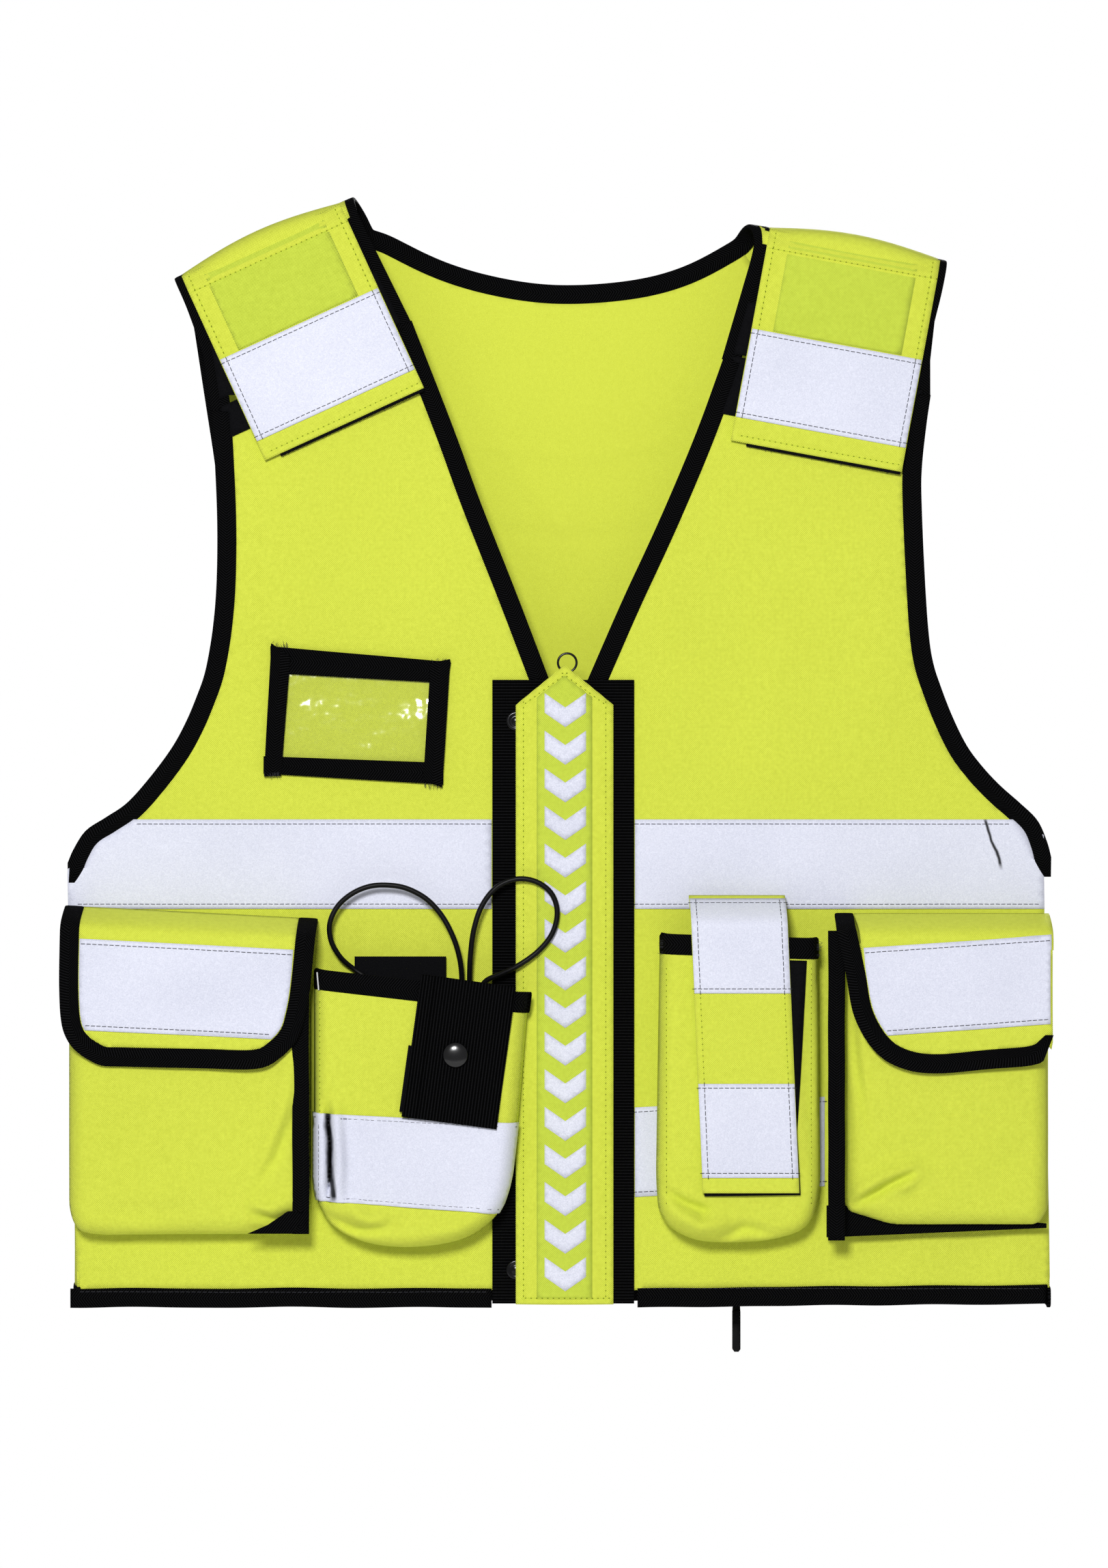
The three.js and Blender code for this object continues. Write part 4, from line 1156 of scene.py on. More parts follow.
def on_panel(name, side, low, high, material, *cuts):
    """A layer on a front panel that runs under the bindings at its edges, cut by lines."""
    outline = grown(smooth_outline(flat_outlines("front_panel_" + side)[0], 2 * mm), tuck)
    for point, normal in cuts:
        outline = clipped(outline, point, normal)
    outline = np.vstack([evenly(np.vstack([p, q]), max(2, round(np.linalg.norm(q - p) / (4 * mm)) + 1))[:-1]
                         for p, q in zip(outline, np.roll(outline, -1, 0))])
    return cloth(name, outline, front, low, high, material, 4 * mm)


chest_tapes = {}
for side, way in (("right", -1), ("left", 1)):
    low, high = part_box("chest_band_" + side)
    inner_edge = high.x if side == "right" else low.x
    # The left tape's finish paints a line of shade along a crease near its outer end.
    chest_tapes[side] = on_panel(
        "chest_band_" + side + "_cloth", side, tape_low, tape_high, silver_crease_shaded, ((0, high.z), (0, -1)),
        ((0, low.z), (0, 1)), ((inner_edge, 0), (way, 0)))
back_tape = panel("back_chest_band", back, tape_low, tape_high, silver_tape, 1.0, -1, 0.0)
patches = {}
for side, fold in folds.items():
    lowest = fold.inward(flat_outlines("loop_patch_" + side)[0])[:, 1].max()
    patches[side] = on_panel(
        "loop_patch_" + side + "_cloth", side, half_cloth, half_cloth + 1.2 * mm, hook_and_loop,
        (fold.place(0, lowest, 0)[[0, 2]], -fold.down))


def straight_outline(corners, step=4 * mm):
    corners = np.array(corners)
    return np.vstack([
        evenly(np.vstack([p, q]), max(2, round(np.linalg.norm(q - p) / step) + 1))[:-1]
        for p, q in zip(corners, np.roll(corners, -1, 0))
    ])


pouch_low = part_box("torch_pouch")[0]
waist_top = pouch_low.z + 80 * mm
waist_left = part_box("zip_facing_left")[1].x + 0.3 * mm
waist_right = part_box("cargo_binding_left")[0].x - 0.5 * mm
waist_tape = cloth(
    "waist_tape_left",
    straight_outline([(waist_left, waist_top - 55 * mm), (waist_right, waist_top - 49 * mm),
                      (waist_right, waist_top + 1 * mm), (waist_left, waist_top - 5 * mm)]),
    front, tape_low, tape_high, silver_tape,
)
print("tape and patches are on")

# %% [markdown]
# ## Pockets
# A pocket is a shell: a front of cloth, and a wall that runs back to the garment and pulls in
# half way, as a bellows does. It is open at the top. The front is flat in the middle and
# rounds over at its sides, and soft creases run in from its lower corners.


# %% Pocket fronts and shells
def mouth_to_mouth(outline, count):
    """Points round the sides and the foot of a pocket, from one end of its mouth to the other."""
    left = int(np.argmax(outline[:, 1] * 3 - outline[:, 0]))
    right = int(np.argmax(outline[:, 1] * 3 + outline[:, 0]))
    way = range(left, left + len(outline))
    ring = np.array([outline[i % len(outline)] for i in way] + [outline[left]])
    stop = (right - left) % len(outline)
    one, two = ring[: stop + 1], ring[stop:][::-1]
    path = max(one, two, key=length_of)
    return evenly(path, count)


def rounded_path(outline, rounds=2):
    """A mouth to mouth path with its lower corners softened."""
    for _ in range(rounds):
        near, far = 0.75 * outline[:-1] + 0.25 * outline[1:], 0.25 * outline[:-1] + 0.75 * outline[1:]
        outline = np.vstack([outline[:1], np.stack([near, far], 1).reshape(-1, 2), outline[-1:]])
    return outline


class Pocket:
    """The surface of a pocket's front, and the shell round it."""

    def __init__(
        self, node, shoulder, creases, seed, gape=2 * mm, looseness=1.0, corner=11, base=front, lip=0.4):
        self.node, self.shoulder, self.creases = node, shoulder, creases
        self.seed, self.gape, self.base, self.lip = seed, gape, base, lip
        self.looseness = looseness
        low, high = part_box(node)
        self.depth = front_middle - half_cloth - low.y
        face, rear = (flat_outlines(node, look)[0] for look in (-1.0, 1.0))
        self.face = evenly(rounded_path(mouth_to_mouth(face, 200)[::corner], 2), 150)
        self.face[0], self.face[-1] = mouth_to_mouth(face, 3)[[0, 2]]
        self.rear = mouth_to_mouth(rear, 150)
        self.low, self.high = low, high

    def height(self, a, s):
        """How far the front stands off the garment."""
        far, _ = to_line(a, s, self.face)
        t = np.clip(far / self.shoulder, 0, 1)
        rise = self.lip + (1 - self.lip) * np.sqrt(np.clip(1 - (1 - t) ** 2, 0, 1))
        up = ease(s, self.low.z, self.high.z)
        middle = np.sin(math.pi * np.clip((a - self.low.x) / (self.high.x - self.low.x), 0, 1))
        height = self.depth * rise + self.gape * middle * up
        soft = ripple(a, s, 70 * mm, self.seed, 1.3) * 0.9 + ripple(a, s, 28 * mm, self.seed + 1) * 0.3
        height = height + soft * mm * t * self.looseness
        for line, rise, width in self.creases:
            height = height + crease(a, s, line, rise * 3.0 * mm, width * mm) * np.clip(t * 2.5, 0, 1)
        return height

    def surface(self, a, s):
        under = self.base(a, s)
        out = half_cloth + self.height(a, s)
        return under - np.stack([out * 0, out, out * 0], -1)

    def shell(self, material, step=1.6 * mm, pull=3.5 * mm, rings=7):
        """The pocket's cloth: its front and its wall, as one piece with a thickness."""
        mouth = evenly(np.vstack([self.face[-1], self.face[0]]), max(3, round(
            np.linalg.norm(self.face[-1] - self.face[0]) / step)))[1:-1]
        outline = np.vstack([self.face, mouth])
        points, faces, _ = filled(outline, step)
        places = list(self.surface(points[:, 0], points[:, 1]))
        uvs = list(points)
        faces = [tuple(f) for f in faces]
        count = len(self.face)
        first = [int(np.argmin(np.hypot(*(points - p).T))) for p in self.face]
        centre = self.face.mean(0)
        start = self.height(self.face[:, 0], self.face[:, 1])
        previous = first
        wall_deep = self.depth * 1.0
        for k in range(1, rings + 1):
            t = k / rings
            flat = self.face + (self.rear - self.face) * t
            inward = centre - flat
            inward /= np.linalg.norm(inward, axis=1)[:, None]
            flat = flat + inward * pull * math.sin(math.pi * t) * 1.0
            under = self.base(flat[:, 0], flat[:, 1])
            out = half_cloth + 0.3 * mm * t + start * (1 - t)
            number = len(places)
            places += list(under - np.stack([out * 0, out, out * 0], 1))
            uvs += list(self.face + (self.face - centre) * (wall_deep * t / 0.06))
            ring = list(range(number, number + count))
            for i in range(count - 1):
                faces.append((previous[i + 1], previous[i], ring[i], ring[i + 1]))
            previous = ring
        piece = mesh_piece(self.node + "_cloth", places, faces, uvs, material)
        bm = bmesh.new()
        bm.from_mesh(piece.data)
        bmesh.ops.recalc_face_normals(bm, faces=bm.faces)
        flat_face = min(bm.faces, key=lambda f: f.calc_center_median().y)
        if flat_face.normal.y > 0:
            bmesh.ops.reverse_faces(bm, faces=bm.faces)
        bm.to_mesh(piece.data)
        bm.free()
        wall = piece.modifiers.new("thickness", "SOLIDIFY")
        wall.thickness, wall.offset = 1.0 * mm, -1.0
        return piece


pockets = {
    "cargo_right": Pocket("cargo_pocket_right", 11 * mm, [
        ([(-150, -462), (-156, -505), (-168, -545), (-178, -561)], 1.5, 7.0),
        ([(-149, -500), (-160, -530), (-175, -555)], -1.3, 3.6),
        ([(-176, -556), (-163, -559), (-150, -552)], 1.5, 3.5),
        ([(-172, -562), (-160, -566), (-149, -561)], -1.6, 2.6),
        ([(-262, -560), (-235, -563), (-205, -561)], -0.8, 7),
    ], 41, corner=6),
    "cargo_left": Pocket("cargo_pocket_left", 11 * mm, [
        ([(156, -560), (175, -549), (196, -538)], -2.0, 2.6),
        ([(158, -552), (176, -541), (192, -536), (200, -541)], 1.8, 4.5),
        ([(158, -432), (162, -480), (168, -520)], -1.2, 2.4),
        ([(196, -541), (188, -547), (178, -548)], 1.2, 3.5),
    ], 45, corner=3),
    "radio": Pocket("radio_pouch", 9 * mm, [
        ([(-131.5, -500), (-130, -530), (-131, -556)], -3.4, 2.2),
        ([(-127, -500), (-125, -530), (-125, -556)], 1.6, 3.0),
        ([(-122, -556), (-108, -566), (-96, -562)], 2.0, 4.5),
        ([(-132, -563), (-116, -571), (-100, -570)], -2.2, 3.2),
        ([(-80, -572), (-62, -570), (-45, -562)], 1.0, 6.0),
    ], 51, 0.0, 0.6),
    "torch": Pocket("torch_pouch", 9 * mm, [
        ([(56, -548), (66, -556), (77, -560), (74, -566)], -1.8, 2.6),
        ([(60, -560), (76, -568), (92, -566)], 2.0, 4.5),
        ([(84, -578), (99, -570), (118, -573)], -1.8, 3.5),
        ([(136, -430), (135, -490), (137, -540)], -0.9, 4.0),
    ], 57, 0.0, 0.5),
}
pocket_pieces = {name: pocket.shell(yellow_cloth) for name, pocket in pockets.items()}
print(len(pocket_pieces), "pockets")

# %% [markdown]
# ## Bound edges and tape on the pockets
# A cargo pocket's gusset is bound in webbing that stands up as a flange. The pouches have a
# bound mouth, and the radio pouch wears a ring of reflective tape near its foot.

# %% Flanges, mouths and the radio pouch's tape
def flat_at(y):
    """A plane that faces the front at depth y."""
    return lambda a, s: np.stack(np.broadcast_arrays(a, y + 0 * a, s), -1)


def straight_band(node, surface, low, high, material, square=5.0):
    left, right = rails(flat_outlines(node)[0], 3 * mm)
    return band(node + "_web", left, right, surface, low, high, material, square=square)


def middle_of(node):
    low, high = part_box(node)
    return (low.y + high.y) / 2


def wavering(y, size, seed):
    """A plane at depth y that wavers a little, as a bound edge does."""
    return lambda a, s: np.stack(
        np.broadcast_arrays(
            a + size * 0.5 * ripple(s, s * 0, 60 * mm, seed), y + size * ripple(s, a * 0, 45 * mm, seed + 1),
            s),
        -1)


cargo_edges = {}
for side in ("right", "left"):
    node = "cargo_binding_" + side
    low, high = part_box(node)
    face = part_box("cargo_pocket_" + side)[0].y
    foot_y = face - 0.2 * mm
    edge = wavering(foot_y, 0.5 * mm, 61 + len(side))
    cargo_edges[side] = straight_band(node, edge, -0.2 * mm, 2.2 * mm, black_binding)
    if side == "right":
        corners = [
            (high.x - 0.5 * mm, low.z + 0.2 * mm), (high.x - 0.3 * mm, low.z + 13 * mm),
            (high.x - 12 * mm, low.z + 12.5 * mm), (high.x - 23 * mm, low.z + 5 * mm),
            (high.x - 34 * mm, low.z + 0.2 * mm)]
    else:
        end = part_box("cargo_pocket_left")[1].x
        corners = [
            (low.x, low.z + 0.3 * mm), (end - 1 * mm, low.z + 5.6 * mm), (end - 1 * mm, low.z + 8 * mm),
            (low.x + 9 * mm, low.z + 18 * mm), (low.x, low.z + 18 * mm)]
        foot_y = front_middle - 9 * mm
    cargo_edges[side + "_foot"] = cloth(
        "cargo_foot_" + side, straight_outline(corners, 2.5 * mm), flat_at(foot_y), 0.0, 1.9 * mm,
        black_binding, 3 * mm)

radio, torch = pockets["radio"], pockets["torch"]
mouths = {
    node: straight_band(node + "_pouch_binding", pockets[node].surface, -1.1 * mm, 0.9 * mm, black_binding)
    for node in ("radio", "torch")}
radio_top, radio_foot = radio.low.z + 73.5 * mm, radio.low.z + 22.5 * mm
radio_face = np.vstack([radio.face, radio.face[:1]])[:-1]
ring_tape = clipped(radio_face, (-82 * mm, radio_top), (-0.051, -1.0))
ring_tape = clipped(ring_tape, (-86 * mm, radio_foot + 1 * mm), (0.072, 1.0))
# Its finish paints a line of shade along a crease near its left side.
radio_tape = cloth(
    "radio_pouch_tape", grown(smooth_outline(ring_tape, 3 * mm), -0.3 * mm), radio.surface, 0.3 * mm,
    1.0 * mm, silver_crease_shaded, 1.5 * mm)
hook_tab = panel(
    "radio_hook_tab", flat_at(middle_of("radio_hook_tab")), -0.5 * mm, 0.7 * mm, hook_and_loop, tucked=0.0,
    step=2 * mm)
torch_low, torch_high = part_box("torch_pouch")
grip_strip = cloth(
    "torch_loop_strip",
    straight_outline([(97 * mm, torch_high.z - 112 * mm), (128.5 * mm, torch_high.z - 113 * mm),
                      (133.8 * mm, torch_high.z - 14 * mm), (100 * mm, torch_high.z - 13 * mm)], 3 * mm),
    torch.surface, 0.1 * mm, 1.1 * mm, hook_and_loop, 4 * mm)
print("pocket edges are bound")

# %% [markdown]
# ## Flaps and straps
# A flap is sewn along one edge, turns over it and hangs down. Its surface is that path, so
# the flap, its binding and its tape all turn over together.


# %% The path of a flap over its fold
class Hanging:
    """A surface that leaves a fold, turns down over bend and then hangs at depth face."""

    def __init__(self, joint, face, bend, lean=0.0, curl=None):
        self.fold, self.lean, self.curl = Fold(joint), lean, curl
        turn = np.linspace(0, math.pi / 2, 16)
        y0 = self.fold.y
        y = y0 + (face - y0) * np.sin(turn) ** 1.15
        v = bend * (turn / turn[-1]) ** 1.15
        y, v = np.append(y, face), np.append(v, bend + 0.3)
        gone = np.concatenate([[0], np.cumsum(np.hypot(np.diff(y), np.diff(v)))])
        self.y, self.v, self.gone = y, v, gone

    def to_pattern(self, points):
        """x and z of a piece that hangs, to pattern coordinates: s is negative down the cloth."""
        flat = self.fold.inward(points)
        flat[:, 0] -= self.lean * flat[:, 1]
        return np.stack([flat[:, 0], -np.interp(flat[:, 1], self.v, self.gone)], 1)

    def surface(self, a, s):
        a, s = np.broadcast_arrays(a, s)
        v = np.interp(-s, self.gone, self.v)
        y = np.interp(-s, self.gone, self.y)
        if self.curl is not None:
            y = y - self.curl(a, v)
        return self.fold.place(a + self.lean * v, v, y)


def with_top(outline, start):
    """A flap's outline with its sides run up to its fold."""
    high = outline[:, 1].max()
    near = outline[:, 1] > high - 6 * mm
    left, right = outline[near][:, 0].min(), outline[near][:, 0].max()
    rest = outline[outline[:, 1] < high - 1 * mm]
    start_at = int(np.argmax(rest[:, 1] * 2 - rest[:, 0]))
    rest = np.roll(rest, -start_at, 0)
    if rest[1, 1] > rest[-1, 1] or rest[len(rest) // 4, 0] > rest[-len(rest) // 4, 0]:
        rest = np.roll(rest[::-1], 1, 0)
    return np.vstack([[(right, start), (left, start)], rest])


flap_half = 0.7 * mm
cargo_flaps, cargo_flap_edges, cargo_flap_tapes, hangs = {}, {}, {}, {}
flap_facts = {"right": (16.5 * mm, 67 * mm, 0.0, 0.003), "left": (18.5 * mm, 68 * mm, 0.066, 0.070)}
for side in ("right", "left"):
    node = "cargo_flap_" + side
    low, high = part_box(node)
    seed = 71 if side == "right" else 77

    def curl(a, v, seed=seed):
        down = ease(v, 14 * mm, 40 * mm)
        return down * mm * (0.9 * ripple(a, v, 60 * mm, seed) + 0.5) + 1.2 * mm * ease(v, 50 * mm, 82 * mm)

    hang = Hanging(f"flap_{side}_lift", low.y + flap_half, 13 * mm, 0.0, curl)
    hangs[side] = hang
    cut = hang.to_pattern(flat_outlines(node)[0])
    outline = with_top(cut, -1.0 * mm)
    outline = grown(smooth_outline(straight_outline(outline, 3 * mm), 3 * mm), 0.0)
    cargo_flaps[side] = cloth(
        node + "_cloth", grown(outline, 1.2 * mm), hang.surface, -flap_half, flap_half, yellow_cloth, 3 * mm)
    left, right = rails(flat_outlines("cargo_flap_binding_" + side)[0], 2.5 * mm)
    left, right = hang.to_pattern(left), hang.to_pattern(right)
    if left[0, 0] > left[-1, 0]:
        left, right = left[::-1], right[::-1]
    over = [np.array([[r[0, 0], -1.5 * mm]]) for r in (left, right)]
    if side == "right":
        past = [np.array([[r[-1, 0], -1.5 * mm]]) for r in (left, right)]
    else:
        kept = np.maximum(left[:, 0], right[:, 0]) < outline[:, 0].max() - 3 * mm
        left, right = left[kept], right[kept]
        upper = (left if left[-1, 1] > right[-1, 1] else right)[-1]
        past = [
            np.array([[outline[:, 0].max() + (1.2 if r[-1, 1] < upper[1] else -3.5) * mm, upper[1] + 5 * mm]])
            for r in (left, right)]
    left, right = (np.vstack([o, r, p]) for o, r, p in zip(over, (left, right), past))
    count = round(length_of(left) / (2.5 * mm))
    left, right = evenly(left, count), evenly(right, count)
    cargo_flap_edges[side] = band(
        "cargo_flap_binding_" + side + "_web", left, right, hang.surface, -1.5 * mm, 1.5 * mm, black_binding)
    top, foot, top_rise, foot_rise = flap_facts[side]
    s_top = -np.interp(top, hang.v, hang.gone)
    s_foot = -np.interp(foot, hang.v, hang.gone)
    taped = clipped(outline, (0, s_top), (top_rise, -1.0))
    taped = clipped(taped, (0, s_foot), (-foot_rise, 1.0))
    cargo_flap_tapes[side] = cloth(
        "cargo_flap_tape_" + side, smooth_outline(taped, 3 * mm), hang.surface, flap_half + 0.02 * mm,
        flap_half + 0.7 * mm, silver_tape, 3 * mm)
print("two flaps")

# %% The torch strap, with two tapes and the hooks behind it
low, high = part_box("torch_strap")
strap_wide = 53.6 * mm
torch_hang = Hanging(
    "torch_tongue_lift", low.y + 0.7 * mm, 18 * mm, 0.043, lambda a,
    v: 0.7 * mm * ripple(a, v, 80 * mm, 83) * ease(v, 20 * mm, 60 * mm))
torch_left = low.x - torch_hang.fold.start[0]
torch_tape_spans = ((3.6, 54.5), (104.5, 156.5))  # from the fold down, in millimetres


def strap_rectangle(hang, u0, u1, v0, v1, step=3 * mm):
    """A straight piece of a strap, between two distances across and two down from its fold."""
    top, foot = (-np.interp(v, hang.v, hang.gone) for v in (v0, v1))
    return straight_outline([(u0, foot), (u1, foot), (u1, top), (u0, top)], step)


torch_strap = cloth(
    "torch_strap_cloth", strap_rectangle(torch_hang, torch_left, torch_left + strap_wide, 1.3 * mm, 165 * mm),
    torch_hang.surface, -0.7 * mm, 0.7 * mm, yellow_cloth, 3 * mm)
torch_tapes = [
    cloth(f"torch_strap_tape_{k}",
          strap_rectangle(torch_hang, torch_left + 0.2 * mm, torch_left + strap_wide - 0.2 * mm, *span),
          torch_hang.surface, 0.72 * mm, 1.4 * mm, silver_tape, 3 * mm)
    for k, span in enumerate(tuple(v * mm for v in span) for span in torch_tape_spans)
]
torch_hooks = cloth(
    "torch_strap_hooks",
    strap_rectangle(
        torch_hang, torch_left - 1.2 * mm, torch_left + strap_wide - 1.5 * mm, 112 * mm,
        166.5 * mm) @ np.array([[1, 0.012], [-0.012, 1]]),
    torch_hang.surface, -1.7 * mm, -0.72 * mm, hook_and_loop, 3 * mm)

# %% The radio strap and its two layers
low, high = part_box("radio_strap")
radio_fold = Fold("radio_tongue_lift")
radio_level = (low.y + high.y) / 2


def radio_flat(a, s):
    bend = 0.9 * mm * ripple(a, s, 90 * mm, 91) + 0.8 * mm * ease(-s, 55 * mm, 80 * mm)
    return radio_fold.place(a, -s, radio_level - bend * ease(-s, 4 * mm, 20 * mm))


radio_wide, radio_tall = 53 * mm, 79.5 * mm
corner = radio_fold.inward(np.array([[-79.4 * mm, -428.8 * mm]]))[0]


def radio_rectangle(u0, u1, v0, v1):
    return straight_outline(
        [(corner[0] + u0, -v1), (corner[0] + u1, -v1), (corner[0] + u1, -v0), (corner[0] + u0, -v0)],
        2.5 * mm)


radio_strap = cloth(
    "radio_strap_web", radio_rectangle(0, radio_wide, 0, radio_tall), radio_flat, -0.7 * mm, 0.7 * mm,
    black_webbing, 2.5 * mm)
radio_under = cloth(
    "radio_strap_under", radio_rectangle(-1.6 * mm, 46 * mm, 40 * mm, 77 * mm), radio_flat, -1.5 * mm,
    -0.75 * mm, hook_and_loop, 3 * mm)
radio_hem = cloth(
    "radio_strap_hem", radio_rectangle(0.4 * mm, 8.5 * mm, 0.3 * mm, radio_tall - 0.4 * mm), radio_flat,
    0.72 * mm, 1.35 * mm, black_webbing, 2.5 * mm)
print("two straps")

# %% [markdown]
# ## The title strip
# A padded placket covers the zip. The real one is printed with a word, which is left out: a
# column of plain chevrons in the same reflective film takes its place. The middle of the
# strip looks darker, because a second layer lies behind it.

# %% Strip, backing and chevrons
low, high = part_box("title_strip")
strip_half = (high.x - low.x) / 2


strip_rear = high.y


def strip_face(a, s):
    rise = 1.9 * mm * (1 - np.clip(np.abs(a) / strip_half, 0, 1) ** 2)
    soft = 0.35 * mm * ripple(a, s, 80 * mm, 101, 2.0)
    return np.stack(np.broadcast_arrays(a, strip_rear + 2.4 * mm - rise - soft, s), -1)


strip = panel("title_strip", strip_face, -0.7 * mm, 0.7 * mm, yellow_cloth, tucked=0.0, step=3 * mm)
strip_middle = cloth(
    "title_strip_middle",
    straight_outline(
        [
            (-15.5 * mm, low.z + 3 * mm), (15.4 * mm, low.z + 3 * mm), (15.4 * mm, high.z - 18 * mm),
            (0, high.z - 6 * mm), (-15.5 * mm, high.z - 18 * mm)],
        4 * mm),
    strip_face, 0.6 * mm, 0.73 * mm, yellow_backed, 4 * mm)
chevron_from, chevron_to = -273 * mm, -606.5 * mm
chevron_wide, chevron_thick, chevron_dip = 23 * mm, 11 * mm, 8 * mm
chevron_count = 16
chevrons = []
for k in range(chevron_count):
    z = chevron_from + (chevron_to - chevron_from + chevron_thick + chevron_dip) * k / (chevron_count - 1)
    x0, x1 = -chevron_wide / 2 + 0.4 * mm, chevron_wide / 2 + 0.4 * mm
    xm = (x0 + x1) / 2
    chevrons.append([(x0, z), (x0, z - chevron_thick), (xm, z - chevron_thick - chevron_dip),
                     (x1, z - chevron_thick), (x1, z), (xm, z - chevron_dip)])
printed = [
    cloth(f"strip_chevron_{k:02d}", straight_outline(c, 3 * mm), strip_face, 0.7 * mm, 0.9 * mm,
          silver_print, 3 * mm)
    for k, c in enumerate(chevrons)
]


def one_piece(name, parts):
    """Joins pieces with one finish into one."""
    bm = bmesh.new()
    for part in parts:
        bm.from_mesh(part.data)
        made_pieces.remove(part)
    mesh = bpy.data.meshes.new(name)
    bm.to_mesh(mesh)
    bm.free()
    mesh.materials.append(parts[0].data.materials[0])
    for part in parts:
        bpy.data.objects.remove(part)
    piece = bpy.data.objects.new(name, mesh)
    scene.collection.objects.link(piece)
    made_pieces.append(piece)
    return piece


chevron_print = one_piece("strip_chevrons", printed)
print(chevron_count, "chevrons")

# %% [markdown]
# ## The badge window
# Four short strips of webbing are sewn into a frame, one over another at the corners, and
# their cut ends fray. A sheet of clear vinyl is caught behind them.

# %% Frame, film and frayed ends
outer, inner = flat_outlines("badge_frame")[:2]
film_low = half_cloth + 0.3 * mm


def corner_at(outline, right, up):
    return outline[int(np.argmax(outline[:, 0] * right + outline[:, 1] * up))]


badge_strips = []
for name, ends, height in (
    ("top", ((-1, 1), (1, 1)), 0.0), ("foot", ((-1, -1), (1, -1)), 0.0), ("left", ((-1, 1), (-1, -1)), 0.9),
    ("right", ((1, 1), (1, -1)), 0.9)):
    out_rail = np.array([corner_at(outer, *e) for e in ends])
    in_rail = np.array([corner_at(inner, *e) for e in ends])
    run = (out_rail[1] - out_rail[0]) / np.linalg.norm(out_rail[1] - out_rail[0])
    reach_out = 10.5 * mm
    in_rail = np.array([in_rail[0] - run * reach_out, in_rail[1] + run * reach_out])
    extra = 1.6 * mm if name in ("left", "right") else 0.4 * mm
    out_rail = np.array([out_rail[0] - run * extra, out_rail[1] + run * extra])
    badge_strips.append(
        band(
            "badge_frame_" + name, evenly(out_rail, 40), evenly(in_rail, 40), front,
            film_low + (0.5 + height) * mm, film_low + (2.0 + height) * mm, black_binding, square=7.0))
badge_frame = one_piece("badge_frame_web", badge_strips)


def film_lie(a, s):
    crinkle = 0.8 * mm * ripple(a, s, 34 * mm, 111, 1.6) + 0.3 * mm * ripple(a, s, 14 * mm, 112)
    return front(a, s) - np.stack([0 * a, 0.6 * mm + crinkle * 0.6, 0 * a], -1)


badge_film = cloth(
    "badge_film_sheet", smooth_outline(straight_outline(flat_outlines("badge_film")[0], 2 * mm), 2 * mm),
    film_lie, film_low, film_low + 0.2 * mm, clear_film, 2 * mm)
print("the badge window is framed")

# %% [markdown]
# ## The elastic loops
# Two loops of elastic cord stand out of the radio pouch's mouth. Each is one smooth curve
# that starts and ends where it is sewn in. The radio's aerial goes through them.

# %% Loops
cord_thick = 3 * mm
sewn, lift = -22.8, -29.4
loop_points = {
    "left": [
        (-112.5, sewn, -430.5), (-118.5, sewn, -426.4), (-124.8, -25.5, -420.6), (-130, -27.6, -411.5),
        (-130.8, lift, -401.5), (-126.6, lift, -392), (-118.8, lift, -385), (-109.4, lift, -380.9),
        (-99.5, lift, -380), (-88.4, lift, -381.7), (-77, lift, -387.7), (-68.2, lift, -397.3),
        (-61.9, lift, -409.3), (-58.6, -27.4, -420.4), (-57.4, -25, -430.6), (-57.6, sewn, -440)],
    "right": [
        (-52.9, sewn, -441), (-53, -25.4, -431), (-52.4, -27.8, -418.5), (-50.5, lift, -404.6),
        (-46, lift, -391.4), (-37.8, lift, -381.2), (-26.6, lift, -376.6), (-15.6, lift, -378.2),
        (-7.2, lift, -384.8), (-4.1, lift, -395.2), (-6.9, lift, -407), (-14.7, lift, -416.8),
        (-25.5, lift, -424.6), (-35.6, -27.9, -429.6), (-44, -25.6, -433.6), (-48.4, sewn, -441)]}
loops = {}
for side, points in loop_points.items():
    data = bpy.data.curves.new("elastic_loop_" + side + "_cord", "CURVE")
    data.dimensions = "3D"
    spline = data.splines.new("POLY")
    run = curved(np.array(points) * mm, 2 * mm)
    spline.points.add(len(run) - 1)
    spline.points.foreach_set("co", np.hstack([run, np.ones((len(run), 1))]).ravel())
    spline.use_smooth = True
    data.bevel_depth, data.bevel_resolution = cord_thick / 2, 3
    data.use_fill_caps = True
    data.materials.append(black_rubber)
    loops[side] = bpy.data.objects.new(data.name, data)
    scene.collection.objects.link(loops[side])
    loops[side]["long"] = length_of(run)
    print("the", side, "loop is", round(length_of(run), 3), "m long")

# %% [markdown]
# ## Shoulder tabs
# Each tab is a rectangle of cloth that folds down from the top of the shoulder and grips the
# loop patch under it. Its hook strip shows as a thin black fringe under its lower edge.

